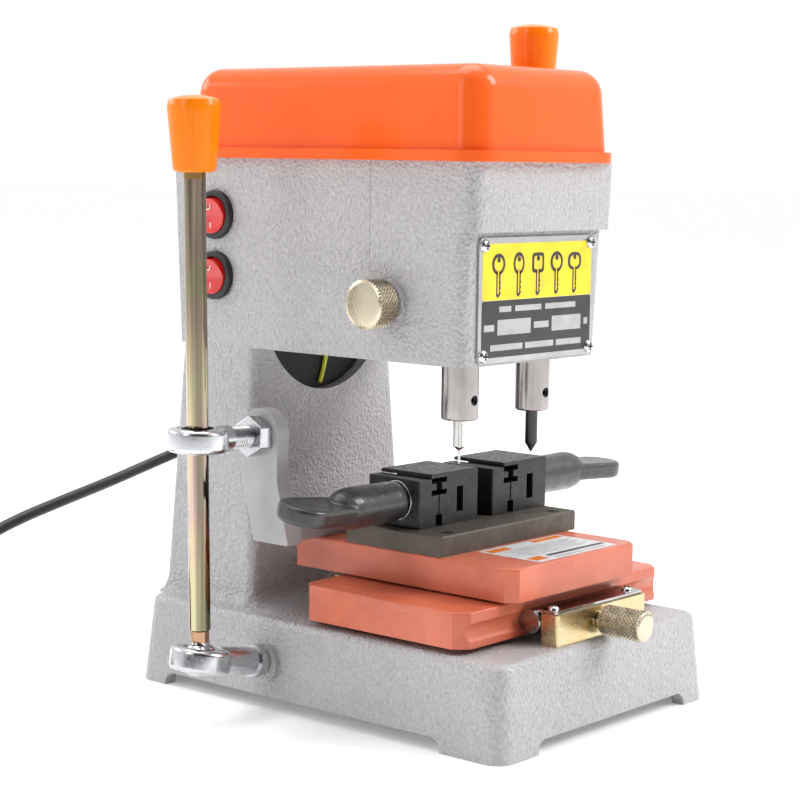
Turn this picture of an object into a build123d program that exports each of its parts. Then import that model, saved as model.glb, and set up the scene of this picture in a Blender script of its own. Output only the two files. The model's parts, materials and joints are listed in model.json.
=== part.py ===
from build123d import *
import math
import os

# Key duplicating machine, in millimetres.
# Origin: centre of the footprint on the bench. +X right, +Y to the back, +Z up.

os.makedirs("parts", exist_ok=True)

# ---------------------------------------------------------------- driving dimensions
BASE_W, BASE_D, BASE_H = 168.0, 233.0, 43.7
BASE_INSET = 3.5            # each side wall of the base leans in by this much
WALL = 6.0                  # casting wall
ARCH_H = 6.5                # cut-outs between the feet
LEFT = -65.6                # left face of column and head
COLUMN_FRONT = 53.7
COLUMN_RIGHT_FOOT, COLUMN_RIGHT_TOP = 51.0, 37.0
COLUMN_REAR_FOOT, COLUMN_REAR_TOP = 116.5, 104.0
HEAD_Z, STEP_Z, HEAD_TOP = 171.5, 234.0, 263.5
HEAD_FRONT, BROW_FRONT = -77.0, -82.0
FLOOR_T = 6.0               # floor of the head
COVER_TOP = 307.0
COVER_T = 2.5
MAST_Z = 250.0              # top of the four posts that carry the motor plate

SPINDLE_Y = -55.0
CUTTER_X, TRACER_X = -40.1, 15.6
COLLAR_Z = 144.5            # lower end of both collars
TIP_Z = 124.0
CARRIAGE_Z0, CARRIAGE_Z1 = 196.0, 226.0
GUIDE_X, GUIDE_Y, GUIDE_R = (-20.3, -4.3), -47.0, 4.0

MODULE, PINION_TEETH = 1.0, 20
PINION_R = MODULE * PINION_TEETH / 2
PINION_Y, PINION_Z = -24.0, 211.0
RACK_PITCH_Y = PINION_Y - PINION_R
PINION_X0, PINION_X1 = 8.0, 22.0
LEVER_X = 52.5              # plane of the feed lever, right of the head

MOTOR_X, MOTOR_Y, MOTOR_R = -12.5, 64.0, 30.0
PULLEY_Z0, PULLEY_Z1 = 264.0, 276.0
MOTOR_PULLEY_R, SPINDLE_PULLEY_R = 16.0, 20.0
BELT_T, BELT_GAP = 2.2, 0.15

LOCK_Y, LOCK_Z = -31.0, 198.3
SWITCH_Y, SWITCH_Z = 80.0, (235.7, 206.0)
ROCKER_TILT = 8.0

LOWER_X0, LOWER_X1, LOWER_Y0, LOWER_Y1 = -77.6, 82.3, -88.7, 9.9
LOWER_Z0, LOWER_Z1 = 46.5, 63.3
UPPER_X0, UPPER_X1, UPPER_Y0, UPPER_Y1 = -50.0, 51.0, -95.5, 43.0
UPPER_Z0, UPPER_Z1 = 64.5, 80.3
WAY_R, WAY_Z = 6.0, 53.9
WAY_Y = (-93.0, 14.2)       # axes of the two round ways of the lower table
WAY_X0, WAY_X1 = -33.0, 38.6
BALL_R, BALL_X, BALL_Y = 3.0, (-42.0, 42.0), (-51.3, 3.5)
PLATE_X0, PLATE_X1, PLATE_Y0, PLATE_Y1, PLATE_Z1 = -50.0, 57.0, -53.5, 6.5, 90.0

VISE_X = (-43.0, 13.0)      # left edge of each vise
VISE_W, VISE_Y0, VISE_Y1, VISE_TOP = 44.0, -34.0, -2.0, 115.5
JAW_W, JAW_GAP, JAW_TOP = 14.4, 0.8, 113.4
SCREW_Y, SCREW_Z, SCREW_R = -21.0, 103.0, 4.0

LEVER_Y = 28.5
LOWER_EYE = Vector(-125.4, LEVER_Y, 31.5)
EYE_SPACING = 103.2
LEAN = math.radians(1.15)   # the lever leans a little outwards
LEVER_DIR = Vector(-math.sin(LEAN), 0, math.cos(LEAN))
UPPER_EYE = LOWER_EYE + LEVER_DIR * EYE_SPACING
LEVER_R, NECK_R, BALL_END_R, EYE_R = 5.0, 4.3, 8.6, 14.3
LOWER_RISE, UPPER_RISE = math.radians(11.0), math.radians(2.4)
RUN_GAP = 0.05              # radial clearance of a running fit

CORD_R = 3.05
CORD_HOLE = (14.0, 112.0)   # x and z of the cord inlet in the column's rear wall
GLAND_END_Y = 136.0
COIL_X, COIL_Y, COIL_IN, COIL_OUT, COIL_H = -182.5, 234.0, 23.5, 42.5, 12.4


def save(piece, name):
    """Give a finished piece its name and write it as its own file."""
    piece.part.label = name
    export_step(piece.part, f"parts/{name}.step")


def block(x0, x1, y0, y1, z0, z1, mode=Mode.ADD):
    with Locations(((x0 + x1) / 2, (y0 + y1) / 2, (z0 + z1) / 2)):
        Box(x1 - x0, y1 - y0, z1 - z0, mode=mode)


def rod_x(x0, x1, y, z, r, mode=Mode.ADD):
    with Locations(Location(((x0 + x1) / 2, y, z), (0, 90, 0))):
        Cylinder(r, x1 - x0, mode=mode)


def rod_y(y0, y1, x, z, r, mode=Mode.ADD):
    with Locations(Location((x, (y0 + y1) / 2, z), (90, 0, 0))):
        Cylinder(r, y1 - y0, mode=mode)


def rod_z(z0, z1, x, y, r, mode=Mode.ADD):
    with Locations((x, y, (z0 + z1) / 2)):
        Cylinder(r, z1 - z0, mode=mode)


def outline(z, x0, x1, y0, y1, r_front, r_rear):
    """A level rectangle whose front and rear corners have their own radii."""
    with BuildSketch(Plane.XY.offset(z)) as sketch:
        with Locations(((x0 + x1) / 2, (y0 + y1) / 2)):
            Rectangle(x1 - x0, y1 - y0)
        fillet(sketch.vertices().group_by(Axis.Y)[0], r_front)
        fillet(sketch.vertices().group_by(Axis.Y)[-1], r_rear)
    return sketch.sketch


# ---------------------------------------------------------------- casting
def column_right(z):
    share = (HEAD_Z - z) / (HEAD_Z - BASE_H)
    return COLUMN_RIGHT_TOP + share * (COLUMN_RIGHT_FOOT - COLUMN_RIGHT_TOP)


def column_rear(z):
    share = (HEAD_Z - z) / (HEAD_Z - BASE_H)
    return COLUMN_REAR_TOP + share * (COLUMN_REAR_FOOT - COLUMN_REAR_TOP)


def column_outline(z, inset=0.0):
    return outline(z, LEFT + inset, column_right(z) - inset, COLUMN_FRONT + inset,
                   column_rear(z) - inset, 5 - inset / 2, 4)


def foot_outline(rise, spread):
    """The flare where the column meets the base."""
    return outline(BASE_H + rise, LEFT - spread, column_right(BASE_H + rise) + spread,
                   COLUMN_FRONT - spread, column_rear(BASE_H + rise), 5 + spread, 4)


def head_outline(z, front, inset=0.0):
    """The head's outline: front left corner well rounded, the right one crisp."""
    share = (z - HEAD_Z) / (HEAD_TOP - HEAD_Z)
    right = 35.0 + 6.0 * share - inset
    rear = COLUMN_REAR_TOP + 5.0 * share - inset
    left = LEFT + inset
    with BuildSketch(Plane.XY.offset(z)) as sketch:
        with Locations(((left + right) / 2, (front + inset + rear) / 2)):
            Rectangle(right - left, rear - front - inset)
        fillet(sketch.vertices().sort_by(Axis.X)[0:2].sort_by(Axis.Y)[0], 8 - inset / 2)
        fillet(sketch.vertices().group_by(Axis.X)[-1], 2.5)
    return sketch.sketch


def base_outline(z, inset=0.0, radius=9.0):
    lean = BASE_INSET * z / BASE_H
    half_w = BASE_W / 2 - lean - inset
    half_d = BASE_D / 2 - lean - inset
    return outline(z, -half_w, half_w, -half_d, half_d, radius, radius)


POSTS = ((-54.6, -66.2), (28.0, -66.2), (-54.0, 96.5), (27.5, 96.5))
COVER_SCREW_X, COVER_SCREW_Z = (-40.0, 16.0), 272.5
NAMEPLATE_SCREWS = ((-53.3, 226.0), (28.0, 226.0), (-53.3, 176.2), (28.0, 176.2))
WAY_SCREW_X = (-22.0, 27.6)
WAY_BLOCK_Y = (-103.4, 24.6)


def frame_casting():
    with BuildPart() as casting:
        loft(sections=[base_outline(0), base_outline(BASE_H)])
        fillet(casting.faces().sort_by(Axis.Z)[-1].edges(), 4)
        block(LEFT, COLUMN_RIGHT_FOOT, 100, BASE_D / 2, 0, BASE_H)
        loft(sections=[column_outline(BASE_H), column_outline(180)])
        loft(sections=[foot_outline(-0.5, 6.5), foot_outline(1.8, 2.2), foot_outline(6.5, 0)], ruled=True)
        loft(sections=[head_outline(HEAD_Z, HEAD_FRONT), head_outline(STEP_Z, HEAD_FRONT)])
        loft(sections=[head_outline(STEP_Z - 2, BROW_FRONT), head_outline(HEAD_TOP, BROW_FRONT)])
        # bosses for the lever's eye, the depth lock and the feed shaft
        rod_x(-85, -76, LEVER_Y, 23, 9.5)
        rod_x(-68.6, LEFT + 2, LOCK_Y, LOCK_Z, 12.5)
        rod_x(30, 43, PINION_Y, PINION_Z, 12)
        # hollows
        loft(sections=[base_outline(-0.5, 7, 6), base_outline(BASE_H - 7, 7, 6)], mode=Mode.SUBTRACT)
        loft(sections=[column_outline(30, WALL), column_outline(180, WALL)], mode=Mode.SUBTRACT)
        loft(sections=[head_outline(HEAD_Z + FLOOR_T, HEAD_FRONT, WALL),
                       head_outline(HEAD_TOP + 0.5, HEAD_FRONT, WALL)], mode=Mode.SUBTRACT)
        # corner pads for the motor plate, lugs for the cover's screws
        block(LEFT + 5, -50, -73, -62, MAST_Z - 20, MAST_Z)
        block(23, 36, -73, -62, MAST_Z - 20, MAST_Z)
        block(LEFT + 5, -48, 92, 104, MAST_Z - 20, MAST_Z)
        block(22, 36, 92, 104, MAST_Z - 20, MAST_Z)
        for x in COVER_SCREW_X:
            block(x - 5, x + 5, 96, 100.4, MAST_Z + 5, COVER_SCREW_Z + 5)
            block(x - 5, x + 5, 96, 105, MAST_Z + 5, HEAD_TOP)
        # arches between the feet
        with BuildSketch(Plane.XZ) as front_arch:
            with Locations((3.5, 0)):
                RectangleRounded(119, 2 * ARCH_H, 5.5)
        extrude(amount=BASE_D, both=True, mode=Mode.SUBTRACT)
        with BuildSketch(Plane.YZ) as side_arch:
            with Locations((7.5, 0)):
                RectangleRounded(178, 2 * ARCH_H, 5.5)
        extrude(amount=BASE_W, both=True, mode=Mode.SUBTRACT)
        # half-round window low in the column's front wall
        with BuildSketch(Plane.XZ.offset(-COLUMN_FRONT - WALL - 0.2)):
            with Locations((-13.4, 192)):
                Circle(44)
            with Locations((-13.4, HEAD_Z + 50)):
                Rectangle(120, 100, mode=Mode.SUBTRACT)
        extrude(amount=WALL + 0.4, mode=Mode.SUBTRACT)
        # bores
        for x in (CUTTER_X, TRACER_X):
            rod_z(HEAD_Z - 1, HEAD_Z + FLOOR_T + 1, x, SPINDLE_Y, 9.5, Mode.SUBTRACT)
        for x in GUIDE_X:
            rod_z(HEAD_Z + 2, HEAD_Z + FLOOR_T + 1, x, GUIDE_Y, GUIDE_R, Mode.SUBTRACT)
        for z in SWITCH_Z:
            rod_x(LEFT - 2, LEFT + WALL + 2, SWITCH_Y, z, 10.1, Mode.SUBTRACT)
        rod_x(-70, LEFT + WALL + 1, LOCK_Y, LOCK_Z, 4 + RUN_GAP, Mode.SUBTRACT)
        rod_x(24, 44, PINION_Y, PINION_Z, 6 + RUN_GAP, Mode.SUBTRACT)
        rod_y(98, 116, *CORD_HOLE, 8, Mode.SUBTRACT)
        rod_x(-86, -70, LEVER_Y, 23, 4, Mode.SUBTRACT)
        for x, z in NAMEPLATE_SCREWS:
            rod_y(HEAD_FRONT - 1, HEAD_FRONT + 5, x, z, 1.5, Mode.SUBTRACT)
        for y in WAY_BLOCK_Y:
            for x in WAY_SCREW_X:
                rod_z(30, BASE_H + 1, x, y, 2.2, Mode.SUBTRACT)
        for x, y in POSTS:
            rod_z(MAST_Z - 10, MAST_Z + 1, x, y, 2.2, Mode.SUBTRACT)
        for x in COVER_SCREW_X:
            rod_y(95, 103, x, COVER_SCREW_Z, 2.2, Mode.SUBTRACT)
    save(casting, "frame_casting")


# ---------------------------------------------------------------- cover and trim
def cover_shell(grow, z0, top, radius):
    """The cover's body, grown or shrunk all round, with a rounded upper edge."""
    with BuildPart() as shell:
        loft(sections=[
            outline(z0, -67.5 - grow, 40.5 + grow, -84 - grow, 107 + grow, 14 + grow, 14 + grow),
            outline(top, -65 - grow, 38 + grow, -81.5 - grow, 97 + grow, 14 + grow, 14 + grow)])
        fillet(shell.faces().sort_by(Axis.Z)[-1].edges(), radius)
    return shell.part


def top_cover():
    body = cover_shell(0, HEAD_TOP + 1, COVER_TOP, 12)
    hollow = cover_shell(-COVER_T, HEAD_TOP - 1, COVER_TOP - COVER_T, 9.5)
    with BuildPart() as cover:
        add(body)
        add(outline(HEAD_TOP, -70, 43, -86.5, 110, 16, 16))
        extrude(amount=5)
        add(hollow, mode=Mode.SUBTRACT)
        for x in COVER_SCREW_X:
            rod_y(100, 112, x, COVER_SCREW_Z, 2.2, Mode.SUBTRACT)
            rod_y(104.8, 112, x, COVER_SCREW_Z, 4, Mode.SUBTRACT)
    save(cover, "top_cover")


def nameplate():
    with BuildPart() as plate:
        with BuildSketch(Plane.XZ.offset(-HEAD_FRONT)):
            with Locations((-12.6, 201.1)):
                RectangleRounded(88.8, 57, 3)
            with Locations(*NAMEPLATE_SCREWS):
                Circle(1.6, mode=Mode.SUBTRACT)
        extrude(amount=1.2)
    save(plate, "nameplate")


def panhead_screws():
    with BuildPart() as screws:
        for x, z in NAMEPLATE_SCREWS:
            rod_y(HEAD_FRONT - 1.2, HEAD_FRONT + 5, x, z, 1.5)
            rod_y(HEAD_FRONT - 3.2, HEAD_FRONT - 1.2, x, z, 3.2)
        for x in (WAY_X0 + 6, WAY_X1 - 6):
            rod_z(60, 62, x, -101.5, 2.8)
            rod_z(52, 60, x, -101.5, 1.5)
    save(screws, "panhead_screws")


def frame_screws():
    """Cap screws of the motor plate, the way blocks and the cover."""
    with BuildPart() as screws:
        for x, y in POSTS:
            rod_z(MAST_Z - 9, MAST_Z + 4, x, y, 2.15)
            rod_z(MAST_Z + 4, MAST_Z + 8, x, y, 3.5)
        for y in WAY_BLOCK_Y:
            for x in WAY_SCREW_X:
                rod_z(BASE_H - 7, BASE_H + 8, x, y, 2.15)
                rod_z(BASE_H - 11, BASE_H - 7, x, y, 3.1)
        for x in COVER_SCREW_X:
            rod_y(96.5, 104.8, x, COVER_SCREW_Z, 2.15)
            rod_y(104.8, 107.6, x, COVER_SCREW_Z, 3.5)
    save(screws, "frame_screws")


def switch_housings():
    with BuildPart() as housings:
        for z in SWITCH_Z:
            rod_x(LEFT - 3, LEFT, SWITCH_Y, z, 12)
            rod_x(LEFT, LEFT + 17, SWITCH_Y, z, 10)
            rod_x(LEFT - 4, LEFT + 9, SWITCH_Y, z, 9.2, Mode.SUBTRACT)
            block(LEFT + 17, LEFT + 23, SWITCH_Y - 1, SWITCH_Y - 0.2, z - 2.4, z + 2.4)
            block(LEFT + 17, LEFT + 23, SWITCH_Y + 6, SWITCH_Y + 6.8, z - 2.4, z + 2.4)
        rims = housings.edges().filter_by(GeomType.CIRCLE).group_by(Axis.X)[0]
        fillet(rims.filter_by(lambda e: e.radius > 11), 1)
    save(housings, "switch_housings")


def rocker(z, name):
    """A round rocker with a shallow hollow face, one half pressed in."""
    centre = Vector(LEFT, SWITCH_Y, z)
    with BuildPart() as upright:
        rod_x(-5.5, 3.6, 0, 0, 8.7)
        with BuildSketch(Plane.XZ) as profile:
            with BuildLine():
                Polyline((3.6, -9), (3.6, 9), (-5.2, 9), (-4, 0), (-5.2, -9), close=True)
            make_face()
        extrude(amount=10, both=True, mode=Mode.INTERSECT)
    with BuildPart() as piece:
        add(upright.part.rotate(Axis.Y, -ROCKER_TILT).moved(Location(centre)))
    save(piece, name)


# ---------------------------------------------------------------- motor and drive
def motor_body():
    with BuildPart() as motor:
        rod_z(186, 244, MOTOR_X, MOTOR_Y, MOTOR_R)
        rod_z(180, 186, MOTOR_X, MOTOR_Y, MOTOR_R - 5)
        rod_z(244, MAST_Z, MOTOR_X, MOTOR_Y, MOTOR_R - 4)
        rod_z(184, MAST_Z + 1, MOTOR_X, MOTOR_Y, 5 + RUN_GAP, Mode.SUBTRACT)
    save(motor, "motor_body")


def motor_plate():
    with BuildPart() as plate:
        block(-59, 32, -70, 101, MAST_Z, MAST_Z + 4)
        fillet(plate.edges().filter_by(Axis.Z), 5.5)
        rod_z(MAST_Z - 6, MAST_Z, CUTTER_X, SPINDLE_Y, 11)
        rod_z(MAST_Z, MAST_Z + 9, CUTTER_X, SPINDLE_Y, 12)
        rod_z(MAST_Z - 7, MAST_Z + 10, CUTTER_X, SPINDLE_Y, 8 + RUN_GAP, Mode.SUBTRACT)
        rod_z(MAST_Z - 1, MAST_Z + 5, MOTOR_X, MOTOR_Y, 11, Mode.SUBTRACT)
        for x in GUIDE_X:
            rod_z(MAST_Z - 1, MAST_Z + 2, x, GUIDE_Y, GUIDE_R, Mode.SUBTRACT)
        for x, y in POSTS:
            rod_z(MAST_Z - 1, MAST_Z + 5, x, y, 2.2, Mode.SUBTRACT)
    save(plate, "motor_plate")


def motor_shaft():
    with BuildPart() as shaft:
        rod_z(185, PULLEY_Z1 + 4, MOTOR_X, MOTOR_Y, 5)
    save(shaft, "motor_shaft")


def pulley(x, y, r, bore, name, hub_z=None):
    """A flat-belt pulley with rims, bored for its shaft."""
    with BuildPart() as wheel:
        rod_z(PULLEY_Z0, PULLEY_Z1, x, y, r)
        rod_z(PULLEY_Z0, PULLEY_Z0 + 1.5, x, y, r + 2.8)
        rod_z(PULLEY_Z1 - 1.5, PULLEY_Z1, x, y, r + 2.8)
        if hub_z:
            rod_z(hub_z, PULLEY_Z0, x, y, 8)
        rod_z(PULLEY_Z0 - 30, PULLEY_Z1 + 1, x, y, bore, Mode.SUBTRACT)
    save(wheel, name)


def belt_face(r_motor, r_spindle, z):
    with BuildSketch(Plane.XY.offset(z)) as sketch:
        with Locations((MOTOR_X, MOTOR_Y)):
            Circle(r_motor)
        with Locations((CUTTER_X, SPINDLE_Y)):
            Circle(r_spindle)
        make_hull()
    return sketch.sketch


def drive_belt():
    z0, z1 = PULLEY_Z0 + 2, PULLEY_Z1 - 2
    inner = (MOTOR_PULLEY_R + BELT_GAP, SPINDLE_PULLEY_R + BELT_GAP)
    with BuildPart() as belt:
        add(belt_face(inner[0] + BELT_T, inner[1] + BELT_T, z0))
        extrude(amount=z1 - z0)
        add(belt_face(*inner, z0 - 1))
        extrude(amount=z1 - z0 + 2, mode=Mode.SUBTRACT)
    save(belt, "drive_belt")


def motor_guard():
    """Black insulating sheet behind the window."""
    with BuildPart() as guard:
        block(-57, 28, COLUMN_FRONT + WALL + 0.1, COLUMN_FRONT + WALL + 2.1, 128, 176)
    save(guard, "motor_guard")


def earth_wire():
    with BuildPart() as wire:
        with BuildLine() as path:
            Spline((-7.6, 58.5, 170.2), (-9.4, 58.5, 160), (-12.7, 58.5, 150.8),
                   tangents=[(0, 0, -1), (-0.5, 0, -1)])
        with BuildSketch(Plane(origin=path.line @ 0, z_dir=path.line % 0)):
            Circle(1.1)
        sweep()
    save(wire, "earth_wire")


# ---------------------------------------------------------------- quill
def quill_carriage():
    rack_x0, rack_x1 = PINION_X0, PINION_X1 - 2
    with BuildPart() as carriage:
        block(-55, 29, -68, -40, CARRIAGE_Z0, CARRIAGE_Z1)
        fillet(carriage.edges().filter_by(Axis.Z), 4)
        # clamping ear that the depth lock presses on
        block(-55, -47, -42, -25, CARRIAGE_Z0 - 8, CARRIAGE_Z1 - 12)
        block(-55, -47, -45, -38, CARRIAGE_Z0 - 8, CARRIAGE_Z1 - 12)
        block(rack_x0, rack_x1, -41, RACK_PITCH_Y - 1.25 * MODULE, CARRIAGE_Z0 - 6, CARRIAGE_Z1 + 8)
        pitch = math.pi * MODULE
        for i in range(-6, 8):
            z = PINION_Z + i * pitch
            extrude(rack_tooth(z, rack_x0), amount=rack_x1 - rack_x0)
        for x in GUIDE_X:
            rod_z(CARRIAGE_Z0 - 1, CARRIAGE_Z1 + 1, x, GUIDE_Y, GUIDE_R + RUN_GAP, Mode.SUBTRACT)
        rod_z(CARRIAGE_Z0 - 1, CARRIAGE_Z1 + 1, CUTTER_X, SPINDLE_Y, 8, Mode.SUBTRACT)
        for z in (CARRIAGE_Z0, CARRIAGE_Z1 - 8):
            rod_z(z - 1 if z == CARRIAGE_Z0 else z, z + 8 if z == CARRIAGE_Z0 else z + 9,
                  CUTTER_X, SPINDLE_Y, 12, Mode.SUBTRACT)
        rod_z(CARRIAGE_Z0 - 1, CARRIAGE_Z1 + 1, TRACER_X, SPINDLE_Y, 6.01, Mode.SUBTRACT)
    save(carriage, "quill_carriage")


def rack_tooth(z, x0):
    """Outline of one straight-sided tooth of the rack, pointing to the back."""
    slope = math.tan(math.radians(20))
    half = math.pi * MODULE / 4
    root_y, tip_y = RACK_PITCH_Y - 1.25 * MODULE, RACK_PITCH_Y + MODULE
    wide = half + 1.25 * MODULE * slope
    narrow = half - MODULE * slope
    with BuildSketch(Plane.YZ.offset(x0)) as tooth:
        with BuildLine():
            Polyline((root_y - 0.2, z - wide), (root_y, z - wide), (tip_y, z - narrow),
                     (tip_y, z + narrow), (root_y, z + wide), (root_y - 0.2, z + wide), close=True)
        make_face()
    return tooth.sketch


def pinion_outline():
    """Corner points of the pinion: each flank is a chord of its involute, thinned a little."""
    base_r = PINION_R * math.cos(math.radians(20))
    root_r, tip_r = PINION_R - 1.25 * MODULE, PINION_R + MODULE

    def half_angle(r):
        pressure = math.acos(min(1.0, base_r / r))
        involute = math.tan(pressure) - pressure
        at_pitch = math.tan(math.radians(20)) - math.radians(20)
        return math.pi / (2 * PINION_TEETH) + at_pitch - involute - 0.1 / PINION_R

    half = [(root_r, half_angle(base_r)), (base_r, half_angle(base_r)),
            (PINION_R, half_angle(PINION_R)), (tip_r, half_angle(tip_r))]
    points = []
    for i in range(PINION_TEETH):
        middle = math.pi + math.pi / PINION_TEETH + i * 2 * math.pi / PINION_TEETH
        for r, a in half:
            points.append((r * math.cos(middle - a), r * math.sin(middle - a)))
        for r, a in reversed(half):
            points.append((r * math.cos(middle + a), r * math.sin(middle + a)))
    return points


def feed_pinion_shaft():
    with BuildPart() as shaft:
        with BuildSketch(Plane(origin=(PINION_X0 + 1, PINION_Y, PINION_Z), x_dir=(0, 1, 0), z_dir=(1, 0, 0))):
            with BuildLine():
                Polyline(*pinion_outline(), close=True)
            make_face()
        extrude(amount=PINION_X1 - PINION_X0 - 2)
        rod_x(PINION_X1 - 2, LEVER_X + 6, PINION_Y, PINION_Z, 6)
    save(shaft, "feed_pinion_shaft")


def feed_hub():
    with BuildPart() as hub:
        rod_x(LEVER_X - 8, LEVER_X + 8, PINION_Y, PINION_Z, 12)
        fillet(hub.edges().filter_by(GeomType.CIRCLE), 1.5)
        rod_x(LEVER_X - 9, LEVER_X + 6, PINION_Y, PINION_Z, 6, Mode.SUBTRACT)
        rod_z(PINION_Z + 8, PINION_Z + 14, LEVER_X, PINION_Y, 4.5, Mode.SUBTRACT)
    save(hub, "feed_hub")


def feed_rod():
    with BuildPart() as rod:
        rod_z(PINION_Z + 8, 318, LEVER_X, PINION_Y, 4.5)
    save(rod, "feed_rod")


def knob_profile(plane, length, r_low, r_top, bore, depth):
    """Half section of a lever knob on the given plane: radius across, height up."""
    rim = r_top - 0.8
    dome = (rim ** 2 + 4) / 4
    middle = length - dome + math.sqrt(dome ** 2 - (rim / 2) ** 2)
    with BuildSketch(plane) as profile:
        with BuildLine():
            Polyline((bore, 0), (r_low - 1, 0), (r_low, 1), (r_top, length - 5), (rim, length - 2))
            ThreePointArc((rim, length - 2), (rim / 2, middle), (0, length))
            Polyline((0, length), (0, depth), (bore, depth), (bore, 0))
        make_face()
    return profile.sketch


def feed_knob():
    plane = Plane(origin=(LEVER_X, PINION_Y, 296), x_dir=(1, 0, 0), z_dir=(0, -1, 0))
    with BuildPart() as knob:
        revolve(knob_profile(plane, 35.5, 10.2, 12.4, 4.5, 22), axis=Axis(plane.origin, (0, 0, 1)))
    save(knob, "feed_knob")


def guide_rods():
    with BuildPart() as rods:
        for x in GUIDE_X:
            rod_z(HEAD_Z + 2, MAST_Z + 2, x, GUIDE_Y, GUIDE_R)
    save(rods, "guide_rods")


def return_springs():
    """Two coil springs under the carriage, round the guide rods."""
    low, high, wire, turns = HEAD_Z + FLOOR_T, CARRIAGE_Z0, 0.7, 5
    with BuildPart() as springs:
        for x in GUIDE_X:
            with BuildLine() as path:
                Helix(pitch=(high - low - 2 * wire - 0.2) / turns, height=high - low - 2 * wire - 0.2,
                      radius=6.2, center=(x, GUIDE_Y, low + wire + 0.1))
            with BuildSketch(Plane(origin=path.line @ 0, z_dir=path.line % 0)):
                Circle(wire)
            sweep(path=path.line, is_frenet=True)
    save(springs, "return_springs")


def spindle_bearings():
    with BuildPart() as bearings:
        for z in (CARRIAGE_Z0, CARRIAGE_Z1 - 8):
            rod_z(z, z + 8, CUTTER_X, SPINDLE_Y, 12)
            rod_z(z - 1, z + 9, CUTTER_X, SPINDLE_Y, 6 + RUN_GAP, Mode.SUBTRACT)
    save(bearings, "spindle_bearings")


def collar(x, r, top_z, neck_top):
    rod_z(COLLAR_Z, top_z, x, SPINDLE_Y, r)
    rod_z(top_z, neck_top, x, SPINDLE_Y, 6)


def chuck_bores(x, r, hole_z):
    """The tool's bore from below and the grub screw's hole from the front."""
    rod_z(COLLAR_Z - 1, COLLAR_Z + 18, x, SPINDLE_Y, 3, Mode.SUBTRACT)
    rod_y(SPINDLE_Y - r - 1, SPINDLE_Y - 2, x, hole_z, 2.4, Mode.SUBTRACT)


def cutter_spindle():
    with BuildPart() as spindle:
        collar(CUTTER_X, 8.75, CARRIAGE_Z0 - 0.3, CARRIAGE_Z1 + 2)
        fillet(spindle.edges().filter_by(GeomType.CIRCLE).group_by(Axis.Z)[0], 1.2)
        chuck_bores(CUTTER_X, 8.75, 154.0)
        rod_z(CARRIAGE_Z1 + 2, 290, CUTTER_X, SPINDLE_Y, 4.9)
    save(spindle, "cutter_spindle")


def tracer_holder():
    with BuildPart() as holder:
        collar(TRACER_X, 8.35, CARRIAGE_Z0, CARRIAGE_Z1)
        fillet(holder.edges().filter_by(GeomType.CIRCLE).group_by(Axis.Z)[0], 1.2)
        chuck_bores(TRACER_X, 8.35, 153.5)
    save(holder, "tracer_holder")


def set_screw(x, r, z, name):
    with BuildPart() as screw:
        rod_y(SPINDLE_Y - r + 1.2, SPINDLE_Y - 3, x, z, 2.4)
        with BuildSketch(Plane.XZ.offset(-SPINDLE_Y + r - 1.2)):
            with Locations((x, z)):
                RegularPolygon(1.3, 6)
        extrude(amount=-2, mode=Mode.SUBTRACT)
    save(screw, name)


def key_cutter():
    """Shank with a short fluted end and a fine cutting point."""
    shoulder = TIP_Z + 8
    with BuildPart() as cutter:
        rod_z(shoulder, COLLAR_Z + 18, CUTTER_X, SPINDLE_Y, 3)
        with Locations((CUTTER_X, SPINDLE_Y, shoulder - 1)):
            Cone(0.6, 3, 2)
        rod_z(TIP_Z, shoulder - 2, CUTTER_X, SPINDLE_Y, 0.6)
        for i in range(4):
            a = math.radians(45 + 90 * i)
            x, y = CUTTER_X + 3.3 * math.cos(a), SPINDLE_Y + 3.3 * math.sin(a)
            rod_z(shoulder - 3, COLLAR_Z - 1.5, x, y, 0.9, Mode.SUBTRACT)
    save(cutter, "key_cutter")


def tracer_stylus():
    with BuildPart() as stylus:
        rod_z(TIP_Z + 4.5, COLLAR_Z + 18, TRACER_X, SPINDLE_Y, 3)
        with Locations((TRACER_X, SPINDLE_Y, TIP_Z + 2.25)):
            Cone(0.3, 3, 4.5)
    save(stylus, "tracer_stylus")


def quill_lock_knob():
    with BuildPart() as knob:
        rod_x(-82.2, -69.4, LOCK_Y, LOCK_Z, 11.5)
        fillet(knob.edges().filter_by(GeomType.CIRCLE), 0.8)
        rod_x(-69.4, -55.5, LOCK_Y, LOCK_Z, 4)
    save(knob, "quill_lock_knob")


# ---------------------------------------------------------------- cross table
def way_blocks():
    with BuildPart() as blocks:
        for block_y in WAY_BLOCK_Y:
            block(WAY_X0, WAY_X1, block_y - 5.2, block_y + 5.2, BASE_H, 58.5)
        fillet(blocks.edges().filter_by(Axis.Z), 1.5)
        for way_y, block_y in zip(WAY_Y, WAY_BLOCK_Y):
            rod_x(WAY_X0 - 1, WAY_X1 + 1, way_y, WAY_Z, WAY_R, Mode.SUBTRACT)
            rod_y(block_y - 6, block_y + 6, 1, 52, 3 + RUN_GAP, Mode.SUBTRACT)
            for x in WAY_SCREW_X:
                rod_z(BASE_H - 1, BASE_H + 9, x, block_y, 2.2, Mode.SUBTRACT)
        for x in (WAY_X0 + 6, WAY_X1 - 6):
            rod_z(52, 59, x, -101.5, 1.5, Mode.SUBTRACT)
    save(blocks, "way_blocks")


def way_strip():
    with BuildPart() as strip:
        block(WAY_X0 + 1, WAY_X1 - 1, -107, -97, 58.5, 60)
        fillet(strip.edges().filter_by(Axis.Z), 1)
        for x in (WAY_X0 + 6, WAY_X1 - 6):
            rod_z(58, 61, x, -101.5, 1.5, Mode.SUBTRACT)
    save(strip, "way_strip")


def way_rods():
    with BuildPart() as rods:
        for y in WAY_Y:
            rod_x(WAY_X0 - 1, WAY_X1 + 1, y, WAY_Z, WAY_R)
        fillet(rods.edges().filter_by(GeomType.CIRCLE), 0.6)
    save(rods, "way_rods")


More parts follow.
